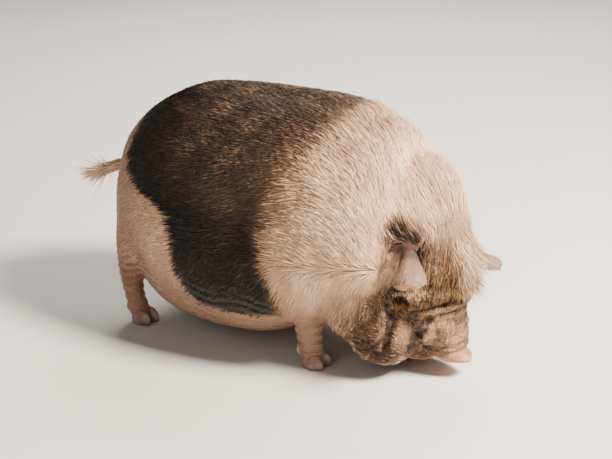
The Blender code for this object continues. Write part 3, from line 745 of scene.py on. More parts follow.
def eye_material(looks):
    """A dark brown iris round a black pupil, wet all over."""
    sheet = Sheet("wet_eye")
    off = sheet.stored("off_axis")
    streaks = sheet.noise(sheet.object_place(), 900.0, 3.0)
    iris = sheet.mix(streaks.rise(0.3, 0.7), looks.iris, (0.02, 0.010, 0.006))
    colour = sheet.mix(off.rise(0.20, 0.26), (0.002, 0.002, 0.002), iris)
    colour = sheet.mix(off.rise(0.52, 0.62), colour, (0.30, 0.20, 0.17))
    sheet.set("Base Color", colour)
    sheet.set("Roughness", streaks * 0.02 + 0.06)
    sheet.shader.inputs["Coat Weight"].default_value = 1.0
    sheet.shader.inputs["Coat Roughness"].default_value = 0.03
    return sheet.material


def claw_material(looks):
    """Worn horn with growth rings and pink blotches, darker towards the sole."""
    sheet = Sheet("worn_horn")
    place = sheet.object_place()
    _, _, z = sheet.split(place)
    rings = sheet.noise(sheet.stretched(place, (0.5, 0.5, 6.0)), 60.0, 2.0)
    stain = sheet.noise(place, 55.0, 4.0)
    colour = sheet.mix(stain.rise(0.35, 0.65), looks.horn, looks.pink_skin)
    # Darker towards the sole, over its lowest 12 mm.
    colour = sheet.mix(z.rise(0.012, 0.0) * 0.6, colour, (0.11, 0.075, 0.05))
    sheet.set("Base Color", sheet.mix(rings.rise(0.5, 0.7) * 0.35, colour, (0.09, 0.06, 0.045)))
    sheet.set("Roughness", stain * 0.25 + 0.4)
    sheet.set("Normal", sheet.bump(rings, 0.002, 0.7))
    return sheet.material


def studio_material():
    sheet = Sheet("pale_floor")
    grain = sheet.noise(sheet.object_place(), 3.0, 4.0)
    sheet.set("Base Color", sheet.mix(grain, (0.66, 0.65, 0.63), (0.70, 0.69, 0.67)))
    sheet.set("Roughness", grain * 0.1 + 0.8)
    return sheet.material


# Flesh


def flesh_forms():
    """The overlapping masses that make the pig before they are blended."""
    forms = [barrel("trunk", TRUNK, BELLY_SQUARENESS), barrel("skull", HEAD, SKULL_SQUARENESS, HEAD_FRAME)]
    forms.append(blob("nape", *NAPE, turned(pitch=NAPE_PITCH)))
    forms.append(blob("throat", *THROAT))
    forms.append(blob("chin", *CHIN, frame=HEAD_FRAME))
    forms.append(blob("disc", SNOUT_CENTRE, SNOUT_RADII, frame=HEAD_FRAME))
    for _, side in SIDES:
        for name, (centre, radii) in (("haunch", HAUNCH), ("shoulder", SHOULDER)):
            forms.append(blob(name, mirrored(centre, side), radii))
        for name, leg in (("hind", HIND_LEG), ("fore", FORE_LEG)):
            forms.append(column(name, leg, side))
        for name, (centre, radii) in (("jowl", JOWL), ("cheek", CHEEK)):
            forms.append(blob(name, mirrored(centre, side), radii, frame=HEAD_FRAME))
    return forms


def loose_share(places):
    """1 on the trunk, fading to 0 on the face and the feet, for the wide smoothing."""
    head = in_head(places)
    face = np.where(head[:, 2] > -0.18, (head[:, 0] + 0.018) / 0.072, 0)
    low = (np.abs(places[:, 1]) > 0.10) & (places[:, 0] < 0.29)
    foot = np.where(low, (0.18 - places[:, 2]) / 0.072, 0)
    return 1 - np.clip(np.maximum(face, foot), 0, 1)


def path_on_skin(surface, path):
    """Places along a path and its mirror image, brought onto the skin."""
    rows = [mirrored(row, side) for row in smooth_rows(path, 8) for _, side in SIDES]
    return np.array([surface.find_nearest(HEAD_FRAME @ row)[0] for row in rows])


def from_path(places, rows):
    """The squared distance of places from a path."""
    nearest = np.full(len(places), np.inf)
    for row in rows:
        nearest = np.minimum(nearest, ((places - row) ** 2).sum(axis=1))
    return nearest


def folded(body, folds):
    """Presses folds into the skin along its own normals."""
    places = vertex_places(body)
    surface = surface_of(body)
    lift = np.zeros(len(places))
    for height, width, path in folds:
        lift += height * np.exp(-from_path(places, path_on_skin(surface, path)) / width**2)
    return moved(body, places + vertex_normals(body) * lift[:, None])


def marked_creases(body):
    """Stores 1 in the depth of the face's creases and behind the ears, fading to 0 beside them. The materials paint
    shade into these creases with it.
    """
    surface = surface_of(body)
    places = vertex_places(body)
    share = np.zeros(len(places))
    close = np.flatnonzero(ahead_of(HEAD_PLANE, places) > -0.08)
    for height, width, path in (*FOLDS, *CREASES):
        if height < 0:
            away = from_path(places[close], path_on_skin(surface, path))
            depth = min(-height / 0.006, 1)
            share[close] = np.maximum(share[close], depth * np.exp(-away / (0.8 * width) ** 2))
    store(body.data, "crease", "FLOAT", "value", share)


def snout_rim(body):
    """Raises the rim of the snout's disc and sinks its middle."""
    places = vertex_places(body)
    local = in_head(places)
    across = np.hypot(local[:, 1] / SNOUT_RADII[1], (local[:, 2] - SNOUT_CENTRE.z) / SNOUT_RADII[2])
    front = ease(local[:, 0], 0.228, 0.236)
    upper = ease(local[:, 2] - SNOUT_CENTRE.z, 0.0, 0.025)
    rise = (0.0030 + 0.0035 * upper) * np.exp(-(((across - 0.86) / 0.16) ** 2)) - 0.0035 * ease(across, 0.7, 0.2)
    ahead = from_head(np.array([[1.0, 0, 0]]))
    return moved(body, places + ahead * (front * rise)[:, None])


def leg_wrinkles(body):
    """Level wrinkles down the legs."""
    places = vertex_places(body)
    z = places[:, 2]
    share = ease(z, 0.19, 0.13) * ease(z, 0.02, 0.04)
    waves = np.sin(z * 330 + 1.5 * np.sin(places[:, 1] * 60) + 2 * np.sin(places[:, 0] * 45))
    return moved(body, places + vertex_normals(body) * (0.0011 * share * waves)[:, None])


def coat_depth(places):
    """How deep the skin lies under the solids: most under the mane, least on the face and feet."""
    bare = ease(ahead_of(HEAD_PLANE, places), -0.03, 0.03)
    legs = ease(places[:, 2], 0.16, 0.08)
    return 0.001 + (1 - np.maximum(bare, legs)) * (0.0025 + 0.004 * mane_share(places))


def softened(body, iterations, share=None):
    """Laplacian smoothing, held back by a share at each vertex."""
    if share is None:
        return modified(body, "soften", "SMOOTH", factor=0.5, iterations=iterations)
    group = body.vertex_groups.new(name="share")
    levels = np.round(share * 50).astype(int)
    for level in range(1, 51):
        found = np.flatnonzero(levels == level)
        if len(found):
            group.add(found.tolist(), level / 50, "REPLACE")
    modified(body, "blend", "SMOOTH", factor=0.5, iterations=iterations, vertex_group="share")
    body.vertex_groups.clear()
    return body


def outer_surface(obj):
    """Keeps the surface that holds the topmost vertex."""
    bm = bmesh.new()
    bm.from_mesh(obj.data)
    top = max(bm.verts, key=lambda vert: vert.co.z)
    kept = {top}
    front = [top]
    while front:
        for edge in front.pop().link_edges:
            for vert in edge.verts:
                if vert not in kept:
                    kept.add(vert)
                    front.append(vert)
    bmesh.ops.delete(bm, geom=[vert for vert in bm.verts if vert not in kept], context="VERTS")
    bm.to_mesh(obj.data)
    bm.free()
    return obj


def nostrils_cut(body):
    cutters = bpy.data.collections.new("nostrils")
    for _, side in SIDES:
        cutter = blob("nostril", mirrored(NOSTRIL_CENTRE, side), NOSTRIL_RADII, frame=HEAD_FRAME)
        bpy.context.scene.collection.objects.unlink(cutter)
        cutters.objects.link(cutter)
    modified(body, "cut", "BOOLEAN", operation="DIFFERENCE", operand_type="COLLECTION", collection=cutters, solver="MANIFOLD")
    for cutter in list(cutters.objects):
        bpy.data.objects.remove(cutter)
    bpy.data.collections.remove(cutters)
    return body


def pig_skin():
    """One smooth closed skin over the forms, with folds, wrinkles, snout rim and nostrils."""
    body = joined("skin", flesh_forms())
    outer_surface(modified(body, "one skin", "REMESH", mode="VOXEL", voxel_size=VOXEL))
    finer = (0.005 / VOXEL) ** 2
    softened(body, round(14 * finer))
    softened(body, round(160 * finer), loose_share(vertex_places(body)))
    folded(body, FOLDS)
    places = vertex_places(body)
    moved(body, places - vertex_normals(body) * coat_depth(places)[:, None])
    folded(body, CREASES)
    leg_wrinkles(body)
    snout_rim(body)
    nostrils_cut(body)
    marked_creases(body)
    return body


def ear_frame(side):
    """The ear's own frame: z along the ear, x towards its opening."""
    root = mirrored(EAR_ROOT[side], side)
    along = mirrored(EAR_POINTING[side], side).normalized()
    across = along.cross(Vector((1, 0, 0))).normalized()
    turn = Matrix((across.cross(along), across, along)).transposed().to_4x4()
    return HEAD_FRAME @ Matrix.Translation(root) @ turn


def ear_sheet_place(u, v):
    """A place of the cupped leaf, in the ear's frame: u runs to the tip and v across, from -1 to 1."""
    half = EAR_HALF_WIDTH * (0.08 + (0.56 + 0.52 * u) * math.sqrt(max(1 - u**4, 0)))
    bend = math.radians(EAR_BEND_AT_ROOT + (EAR_BEND_AT_TIP - EAR_BEND_AT_ROOT) * u)
    angle = bend * v
    radius = half / bend
    roll = 0.004 * max(abs(v) - 0.8, 0) / 0.2
    ridge = 0.0012 * math.sin(v * 9) * math.sin(math.pi * u)
    return Vector((radius * (0.5 - math.cos(angle)) + roll + ridge, radius * math.sin(angle), EAR_LENGTH * u))


def ear(side, rows=34, columns=44):
    """One ear as a thick cupped leaf with a rolled rim, with marks for its rim, its root and the inner face of its cup,
    where shade is painted.
    """
    bm = bmesh.new()
    frame = ear_frame(side)
    grid = []
    for i in range(rows):
        u = i / (rows - 1)
        grid.append([bm.verts.new(frame @ ear_sheet_place(u, 2 * j / (columns - 1) - 1)) for j in range(columns)])
    for low, high in zip(grid, grid[1:]):
        for j in range(columns - 1):
            bm.faces.new((low[j], low[j + 1], high[j + 1], high[j]))
    leaf = add_object("leaf", bm, outwards=False)
    modified(leaf, "thickness", "SOLIDIFY", thickness=EAR_THICKNESS, offset=0)
    modified(leaf, "soft edge", "SMOOTH", factor=0.5, iterations=3)
    marked_ear(leaf, frame)
    return leaf


def marked_ear(leaf, frame):
    places = vertex_places(leaf)
    back = np.array(frame.inverted())
    local = places @ back[:3, :3].T + back[:3, 3]
    u = np.clip(local[:, 2] / EAR_LENGTH, 0, 1)
    normals = vertex_normals(leaf) @ back[:3, :3].T
    inward = np.stack([np.full(len(local), 0.02) - local[:, 0], -local[:, 1], np.zeros(len(local))], axis=1)
    half = EAR_HALF_WIDTH * (0.08 + (0.56 + 0.52 * u) * np.sqrt(np.maximum(1 - u**4, 0)))
    facing = (unit(inward) * normals).sum(axis=1)
    opening = np.maximum(local[:, 0] / np.maximum(half, 1e-3) * 1.1, ease(u, 0.93, 1.0))
    # The second mark is 1 on the faces turned into the cup, where the ear's material paints shade.
    for name, values in (("rim", np.clip(opening, 0, 1)), ("inside", ease(facing, 0.0, 0.5)), ("root", 1 - u)):
        stored = leaf.data.attributes.new(name, "FLOAT", "POINT")
        stored.data.foreach_set("value", values.astype(np.float32))


# Bristles


def scattered(obj, density_of, dice, stride=1):
    """Roots and normals spread over a mesh, so many to the square metre at each triangle, and the creases there."""
    mesh = obj.data
    mesh.calc_loop_triangles()
    triangles = np.empty(len(mesh.loop_triangles) * 3, np.int32)
    mesh.loop_triangles.foreach_get("vertices", triangles)
    triangles = triangles.reshape(-1, 3)
    places, normals = vertex_places(obj), vertex_normals(obj)
    corners = places[triangles]
    area = np.linalg.norm(np.cross(corners[:, 1] - corners[:, 0], corners[:, 2] - corners[:, 0]), axis=1) / 2
    middle = corners.mean(axis=1)
    creases = np.zeros(len(places), np.float32)
    if "crease" in mesh.attributes:
        mesh.attributes["crease"].data.foreach_get("value", creases)
    bare = 1 - 0.6 * creases[triangles].mean(axis=1)
    wanted = area * bare * density_of(middle, unit(normals[triangles].mean(axis=1)))
    count = np.floor(wanted + dice.random(len(wanted))).astype(int)
    chosen = np.repeat(np.arange(len(triangles)), count)
    a, b = np.sqrt(dice.random(len(chosen))), dice.random(len(chosen))
    share = np.stack([1 - a, a * (1 - b), a * b], axis=1)[:, :, None]
    root = (corners[chosen] * share).sum(axis=1)
    crease = (creases[triangles[chosen]] * share[:, :, 0]).sum(axis=1)
    return root, unit((normals[triangles[chosen]] * share).sum(axis=1)), crease


def swirl(places, scale, seed):
    """A smooth field between -1 and 1 that wanders over the body."""
    dice = np.random.default_rng(seed)
    total = np.zeros(len(places))
    for _ in range(6):
        total += np.sin(places @ dice.normal(0, scale, 3) + dice.uniform(0, 6.28))
    return total / 3


def flattened(directions, normals):
    return unit(directions - normals * (directions * normals).sum(axis=1, keepdims=True))


class Coat:
    """Bristles on their way to a mesh: where each grows, which way it lies, and how long, wide and raised it is."""

    def __init__(self, ground, lies, lengths, widths, lifts, droop=0.35, tones=None):
        self.roots, self.normals, self.creases = ground
        roots, normals = self.roots, self.normals
        self.lies = flattened(lies, normals)
        self.lengths, self.lifts = lengths, lifts
        self.widths = np.broadcast_to(widths, len(roots))
        self.droop = droop
        self.tones = np.full(len(roots), 0.45) if tones is None else tones

    def taken(self, index):
        ground = self.roots[index], self.normals[index], self.creases[index]
        shape = self.lies[index], self.lengths[index], self.widths[index], self.lifts[index]
        return Coat(ground, *shape, self.droop, self.tones[index])

    def rings(self, steps, dice):
        """The rings of three points of every bristle, then its tip."""
        n = len(self.roots)
        length, width = self.lengths[:, None], self.widths[:, None]
        out = unit(self.lies + self.normals * self.lifts[:, None])
        along = unit(self.lies + self.normals * self.lifts[:, None] * self.droop + dice.normal(0, 0.13, (n, 3)))
        across = np.cross(self.lies, self.normals)
        start = self.roots - self.normals * width * 0.5
        knee = start + out * length * 0.45
        tip = knee + along * length * 0.55
        places = []
        for step in range(steps):
            t = step / steps
            middle = start * (1 - t) ** 2 + knee * 2 * t * (1 - t) + tip * t**2
            breadth = width * (0.5 - 0.30 * t**1.5)
            places += [middle + across * breadth, middle + self.normals * breadth * 0.7, middle - across * breadth]
        places.append(tip)
        places = np.stack(places, axis=1)
        places[:, :, 2] = np.maximum(places[:, :, 2], FLOOR_GAP)
        return places


def round_chart(centre, radii):
    """An unwrap of a rounded body as seen from its middle: round it, and from its front to its back."""
    def chart(places):
        out = unit((places - np.array(centre)) / np.array(radii))
        u = np.arctan2(out[:, 1], out[:, 2]) / (2 * math.pi) + 0.5
        v = np.arccos(np.clip(out[:, 0], -1, 1)) / math.pi
        return np.stack([u, v], axis=1) * 0.96 + 0.02
    return chart


def leg_chart(places):
    """Each leg unrolled into a column of its own."""
    fore, left = places[:, 0] > 0, places[:, 1] > 0
    x = np.where(fore, FORE_LEG[3][0], HIND_LEG[3][0])
    y = np.where(fore, FORE_LEG[3][1], HIND_LEG[3][1]) * np.where(left, 1, -1)
    turn = np.arctan2(places[:, 1] - y, places[:, 0] - x) / (2 * math.pi) + 0.5
    return np.stack([(turn * 0.9 + 0.05 + fore + 2 * left) / 4, np.clip(places[:, 2] / 0.22, 0, 1)], axis=1) * 0.96 + 0.02


BODY_CHART = round_chart((0.06, 0, 0.27), (0.40, 0.24, 0.27))
HEAD_MIDDLE = tuple(HEAD_FRAME @ Vector((0.10, 0, -0.06)))
HEAD_CHART = round_chart(HEAD_MIDDLE, (0.13, 0.13, 0.17))


def bristle_faces(count, steps):
    """Triangles of so many bristles, and for each corner its ring and side."""
    single, ring_side = [], []
    for ring in range(steps):
        for k in range(3):
            low, next_low = ring * 3 + k, ring * 3 + (k + 1) % 3
            if ring == steps - 1:
                single.append((steps * 3, next_low, low))
                ring_side.append(((steps, k + 0.5), (ring, k + 1), (ring, k)))
                continue
            high, next_high = low + 3, next_low + 3
            single += [(high, next_high, next_low), (high, next_low, low)]
            ring_side.append(((ring + 1, k), (ring + 1, k + 1), (ring, k + 1)))
            ring_side.append(((ring + 1, k), (ring, k + 1), (ring, k)))
    single = np.array(single)
    offsets = np.arange(count)[:, None, None] * (steps * 3 + 1)
    return (single[None] + offsets).reshape(-1, 3), np.array(ring_side, float)


def bristle_mesh(name, coat, steps, chart, dice):
    """One mesh of bristles, with each bristle a small patch of the coat's map at its root's place."""
    places = coat.rings(steps, dice)
    count, per = places.shape[:2]
    faces, ring_side = bristle_faces(count, steps)
    mesh = bpy.data.meshes.new(name)
    mesh.vertices.add(count * per)
    mesh.vertices.foreach_set("co", places.ravel())
    mesh.loops.add(faces.size)
    mesh.loops.foreach_set("vertex_index", faces.ravel().astype(np.int32))
    mesh.polygons.add(len(faces))
    mesh.polygons.foreach_set("loop_start", np.arange(0, faces.size, 3, dtype=np.int32))
    mesh.update(calc_edges=True)
    patch = np.stack([ring_side[:, :, 1] / 3, ring_side[:, :, 0] / steps], axis=2) * PATCH
    uv = chart(coat.roots)[:, None, None, :] + patch[None]
    mesh.uv_layers.new(name=COAT_MAP).data.foreach_set("uv", uv.astype(np.float32).ravel())
    along = np.append(np.repeat(np.arange(steps) / steps, 3), 1.0)
    shade = np.clip(dice.normal(0, 0.22, count) + coat.tones + 0.2 * swirl(coat.roots, 60, 5), 0, 1)
    store(mesh, "root_place", "FLOAT_VECTOR", "vector", np.repeat(coat.roots, per, axis=0))
    store(mesh, "along", "FLOAT", "value", np.tile(along, count))
    store(mesh, "shade", "FLOAT", "value", np.repeat(shade, per))
    store(mesh, "crease", "FLOAT", "value", np.repeat(coat.creases, per))
    obj = bpy.data.objects.new(name, mesh)
    bpy.context.scene.collection.objects.link(obj)
    return obj


def store(mesh, name, kind, field, values):
    mesh.attributes.new(name, kind, "POINT").data.foreach_set(field, values.astype(np.float32).ravel())


def grow(name, coat, steps, chart, material, slot, dice):
    """Makes a coat's pieces, each under the limit of triangles, from the tail to the head."""
    most = COAT_LIMIT // (6 * steps - 3)
    order = np.argsort(coat.roots[:, 0], kind="stable")
    for part, index in enumerate(np.array_split(order, math.ceil(len(order) / most)), 1):
        piece = bristle_mesh(f"{name}_{part}", coat.taken(index), steps, chart, dice)
        piece.data.materials.append(material)
        dealt(piece, slot)


def leg_share(places):
    """1 on the legs below the body."""
    share = np.zeros(len(places))
    for leg, side in ((HIND_LEG, -1), (HIND_LEG, 1), (FORE_LEG, -1), (FORE_LEG, 1)):
        x, y = leg[2][0], leg[2][1] * side
        away = np.hypot(places[:, 0] - x, places[:, 1] - y)
        share = np.maximum(share, ease(away, 0.075, 0.06) * ease(places[:, 2], 0.175, 0.145))
    return share


def head_share(places):
    return ease(ahead_of(HEAD_PLANE, places), -0.012, 0.012)


def mane_share(places):
    """1 on the shoulders and neck, where the coat is long."""
    return ease(places[:, 0] - 0.10 * ease(places[:, 2], 0.35, 0.55), 0.13, 0.25)


def from_ear(places):
    """How far places lie from the line through the nearer ear, and how far along it."""
    away, reach = np.full(len(places), np.inf), np.zeros(len(places))
    for _, side in SIDES:
        back = np.array(ear_frame(side).inverted())
        local = places @ back[:3, :3].T + back[:3, 3]
        along = np.clip(local[:, 2], 0, EAR_LENGTH)
        gap = np.linalg.norm(local - np.stack([0 * along, 0 * along, along], axis=1), axis=1)
        reach = np.where(gap < away, along, reach)
        away = np.minimum(away, gap)
    return away, reach


def clear_of_ears(places):
    """0 where hair would grow through an ear or hide it."""
    away, _ = from_ear(places)
    return ease(away, 0.014, 0.026)


def ear_root_share(places):
    """1 round the roots of the ears, where the hair is dark."""
    away, reach = from_ear(places)
    return ease(away, 0.075, 0.035) * (reach < 0.02)


def body_lie(places, normals):
    """Back along the spine, and down the sides."""
    mane = mane_share(places)
    side = ease(np.abs(normals[:, 1]), 0.15, 0.85)
    drop = side * (0.75 + 0.6 * mane)
    above = ease(places[:, 2], 0.225, 0.265)
    nape = ease(normals[:, 0], -0.35, 0.75) * above
    chest = ease(normals[:, 0], 0.3, 0.8) * (1 - above)
    rump = ease(normals[:, 0], -0.5, -0.85)
    x = -1 + 0.45 * side * mane
    z = -drop * (1 - nape) + 0.9 * nape - 1.2 * rump - 1.0 * chest
    sway = 0.22 * swirl(places, 22, 11)
    return np.stack([x, sway * 0.6, z + sway], axis=1)


# Settings


def length_setting(name, default, description):
    return FloatProperty(name=name, default=default, min=0.001, max=0.2, description=description, unit="LENGTH", subtype="DISTANCE")


def colour_setting(name, default, description):
    return FloatVectorProperty(name=name, default=default, size=3, min=0, max=1, description=description, subtype="COLOR")


class CoatSettings(bpy.types.PropertyGroup):
    """Lengths and numbers of the bristles."""

    back_length: length_setting("Back", 0.030, "Length of the bristles of the back and flanks")
    mane_length: length_setting("Mane", 0.042, "Length of the bristles of the shoulders and neck")
    face_length: length_setting("Face", 0.009, "Length of the bristles of the face")
    leg_length: length_setting("Leg", 0.008, "Length of the bristles of the legs")
    forelock_length: length_setting("Forelock", 0.062, "Length of the hair of the forelock")
    back_density: IntProperty(name="Back density", default=78000, description="Bristles to the square metre on the back")
    mane_density: IntProperty(name="Mane density", default=120000, description="Bristles to the square metre on the neck")
    face_density: IntProperty(name="Face density", default=260000, description="Bristles to the square metre on the face")


class LookSettings(bpy.types.PropertyGroup):
    """Colours of skin, hair, horn and eye."""

    pale_skin: colour_setting("Pale skin", (0.42, 0.24, 0.155), "Skin under the cream coat")
    # Darkened partly as painted shade on the belly and legs.
    pink_skin: colour_setting("Pink skin", (0.22, 0.108, 0.072), "Skin of the belly and legs")
    # Also the painted shade in the face's creases.
    dark_skin: colour_setting("Dark skin", (0.014, 0.011, 0.010), "Skin of the dark back and the face's patches")
    brown_skin: colour_setting("Brown skin", (0.17, 0.078, 0.034), "Brown skin of the face")
    tan_skin: colour_setting("Tan skin", (0.42, 0.200, 0.085), "Tan skin of the muzzle and ear rims")
    snout_skin: colour_setting("Snout", (0.50, 0.215, 0.125), "Bare skin of the snout's disc")
    ear_skin: colour_setting("Ear", (0.20, 0.122, 0.090), "Skin of the ears' backs")
    cream_hair: colour_setting("Cream hair", (1.00, 0.72, 0.49), "Bristles of the shoulders and neck")
    tan_hair: colour_setting("Tan hair", (0.56, 0.34, 0.205), "Darker bristles among the cream ones")
    # Darkened partly as painted shade on the rump and under the body.
    pink_hair: colour_setting("Pink hair", (0.27, 0.150, 0.100), "Thin bristles of the rump, belly and legs")
    # Also the painted shade in the face's creases.
    black_hair: colour_setting("Black hair", (0.008, 0.0055, 0.0045), "Bristles of the dark back")
    brown_hair: colour_setting("Brown hair", (0.170, 0.098, 0.060), "Tips of the dark back's bristles")
    orange_hair: colour_setting("Orange hair", (0.58, 0.30, 0.115), "Tips of the forelock and the tail's tassel")
    horn: colour_setting("Horn", (0.36, 0.25, 0.19), "Claws")
    iris: colour_setting("Iris", (0.10, 0.045, 0.018), "Iris of the eyes")


class StudioSettings(bpy.types.PropertyGroup):
    """Camera and light."""

    azimuth: FloatProperty(name="Azimuth", default=35, description="Angle of the camera round the pig, in degrees")
    elevation: FloatProperty(name="Elevation", default=20, description="Angle of the camera above the horizon, in degrees")
    distance: FloatProperty(name="Distance", default=3.285, description="From the camera to the aim", unit="LENGTH", subtype="DISTANCE")
    lens: FloatProperty(name="Lens", default=89.1, description="Focal length", unit="CAMERA")
    key_power: FloatProperty(name="Key", default=620, description="Power of the key light", unit="POWER")


class PigSettings(bpy.types.PropertyGroup):
    """Everything that can be changed."""

    coat: PointerProperty(type=CoatSettings)
    looks: PointerProperty(type=LookSettings)
    studio: PointerProperty(type=StudioSettings)


# Operators


class BuildOperator:
    """What the builders share."""

    bl_options = {"REGISTER"}

    def execute(self, context):
        settings = context.scene.pig
        self.build(settings)
        return {"FINISHED"}


def coat_looks(settings, name):
    """A coat's material, made once."""
    return bpy.data.materials.get(name) or coat_material(name, settings.looks)


class PIG_OT_skin(BuildOperator, bpy.types.Operator):
    """Build the skin of the whole pig"""

    bl_idname = "pig.skin"
    bl_label = "Skin"

    def build(self, settings):
        skin = pig_skin()
        skin.data.materials.clear()
        skin.data.materials.append(skin_material(settings.looks))
        legs = [f"{name}_leg" for name, _, _ in LEGS]
        dealt(skin, "face_coat", "torso", "neck", "head", "snout", *legs)


class PIG_OT_ears(BuildOperator, bpy.types.Operator):
    """Build the two cupped ears"""

    bl_idname = "pig.ears"
    bl_label = "Ears"

    def build(self, settings):
        material = ear_material(settings.looks)
        for label, side in SIDES:
            leaf = ear(side)
            leaf.name = f"{label}_ear_leaf"
            leaf.data.materials.append(material)
            dealt(leaf, "ear_skin", f"{label}_ear")


class PIG_OT_eyes(BuildOperator, bpy.types.Operator):
    """Build the eyeballs and their lids"""

    bl_idname = "pig.eyes"
    bl_label = "Eyes"

    def build(self, settings):
        material = eye_material(settings.looks)
        skin = bpy.data.materials["bristly_skin"]
        for label, side in SIDES:
            ball = eyeball(side)
            ball.name = f"{label}_eyeball"
            ball.data.materials.append(material)
            dealt(ball, "eye", f"{label}_eye")
            lids = eyelids(side)
            lids.name = f"{label}_eyelids"
            lids.data.materials.append(skin)
            dealt(lids, "face_coat")


def gaze(side):
    """Which way an eye looks, in the head's frame."""
    return mirrored((0.30, 0.80, 0.52), side).normalized()


def eyeball(side):
    """A ball with the distance from its axis stored for the iris."""
    ball = blob("eyeball", mirrored(EYE_CENTRE, side), [EYE_RADIUS] * 3, frame=HEAD_FRAME, around=48, along=32)
    centre = HEAD_FRAME @ mirrored(EYE_CENTRE, side)
    look = np.array(HEAD_FRAME.to_3x3() @ gaze(side))
    out = unit(vertex_places(ball) - np.array(centre))
    off = np.arccos(np.clip(out @ look, -1, 1)) / math.pi * 2
    store(ball.data, "off_axis", "FLOAT", "value", off)
    return ball


def eyelids(side):
    """An upper and a lower lid as soft rolls over the ball."""
    centre = mirrored(EYE_CENTRE, side)
    look = gaze(side)
    across = look.cross(mirrored((0, -0.4, 0.9), side)).normalized()
    up = across.cross(look)
    rolls = []
    for rise, thick in ((0.42, 0.0036), (-0.50, 0.0030)):
        path = []
        for step in range(9):
            angle = math.pi * (step / 8 - 0.5) * 1.15
            height = rise * math.cos(angle * 0.8)
            out = (look * 0.85 * math.cos(angle) + across * math.sin(angle) * 1.02 + up * height).normalized()
            spot = HEAD_FRAME @ (centre + out * (EYE_RADIUS + 0.0008))
            path.append((*spot, thick * (0.55 + 0.45 * math.cos(angle))))
        rolls.append(tube("lid", path, 12))
    return joined("lids", rolls)


class PIG_OT_claws(BuildOperator, bpy.types.Operator):
    """Build the claws and dewclaws of the four feet"""

    bl_idname = "pig.claws"
    bl_label = "Claws"

    def build(self, settings):
        material = claw_material(settings.looks)
        for name, leg, side in LEGS:
            pieces, nodes = [], []
            x, y, *_ = leg[-1]
            for label, way in (("outer", 1), ("inner", -1)):
                across = side * (y + way * CLAW_SPREAD)
                pieces.append(claw((x + CLAW_AHEAD, across, CLAW_HEIGHT), CLAW_RADII))
                pieces.append(claw((x - DEWCLAW_BEHIND, across, DEWCLAW_HEIGHT), DEWCLAW_RADII))
                nodes += [f"{name}_{label}_claw", f"{name}_{label}_dewclaw"]
            foot = joined(f"{name}_foot", pieces)
            foot.data.materials.append(material)
            dealt(foot, "claw_horn", *nodes)


def claw(centre, radii):
    """A blunt toe of horn with a flat sole, narrower at its front."""
    toe = blob("toe", centre, radii, around=32, along=24)
    places = vertex_places(toe)
    ahead = (places[:, 0] - centre[0]) / radii[0]
    places[:, 1] = centre[1] + (places[:, 1] - centre[1]) * (1 - 0.22 * ease(ahead, 0.2, 1.0))
    places[:, 2] = np.maximum(places[:, 2], 0)
    return moved(toe, places)


class PIG_OT_tail(BuildOperator, bpy.types.Operator):
    """Build the tail and its tassel"""

    bl_idname = "pig.tail"
    bl_label = "Tail"

    def build(self, settings):
        dice = np.random.default_rng(31)
        tail = tube("tail_flesh", TAIL)
        ground = scattered(tail, lambda places, _: np.full(len(places), 520000.0), dice)
        roots = ground[0]
        end = np.array(TAIL[-1][:3])
        way = unit(np.array([TASSEL_TIP])[:, :3] - end)
        ways = np.repeat(way, len(roots), axis=0)
        near_end = ease(np.linalg.norm(roots - end, axis=1), 0.085, 0.0)
        lengths = (0.034 + 0.062 * near_end) * dice.uniform(0.6, 1.05, len(roots))
        tones = 0.75 - 0.55 * ease(np.linalg.norm(roots - end, axis=1), 0.100, 0.030)
        lifts = 0.16 + 0.20 * dice.random(len(roots))
        coat = Coat(ground, ways, lengths, 0.0022, lifts, -0.35, tones)
        tail.data.materials.append(bpy.data.materials["bristly_skin"])
        dealt(tail, "tail_hair", "tail")
        material = fringe_material("tassel_hair", settings.looks, 0.10, 0.8)
        chart = round_chart(tuple(end + (0.04, 0, 0)), (0.05, 0.02, 0.02))
        grow("tassel", coat, 3, chart, material, "tail_hair", dice)


class PIG_OT_back_coat(BuildOperator, bpy.types.Operator):
    """Grow the short coat of the back, flanks, rump and belly"""

    bl_idname = "pig.back_coat"
    bl_label = "Back coat"

    def build(self, settings):
        dice = np.random.default_rng(3)
        coat = settings.coat

        def density(places, normals):
            bare = 1 - 0.45 * ease(normals[:, 2], -0.5, -0.9)
            return coat.back_density * (1 - head_share(places)) * (1 - leg_share(places)) * (mane_share(places) < 0.5) * bare

        ground = scattered(skin_object(), density, dice)
        roots, normals, _ = ground
        short = np.maximum(ease(roots[:, 0], -0.12, -0.25), ease(roots[:, 2], 0.24, 0.12))
        length = coat.back_length * (1 - 0.5 * short) + (coat.mane_length - coat.back_length) * mane_share(roots) * 0.9
        lengths = length * dice.uniform(0.75, 1.15, len(roots))
        lifts = 0.11 + 0.09 * dice.random(len(roots)) + 0.04 * mane_share(roots)
        made = Coat(ground, body_lie(roots, normals), lengths, 0.0025, lifts, 0.0)
        grow("back_coat", made, 2, BODY_CHART, coat_looks(settings, "bristles"), "back_coat", dice)


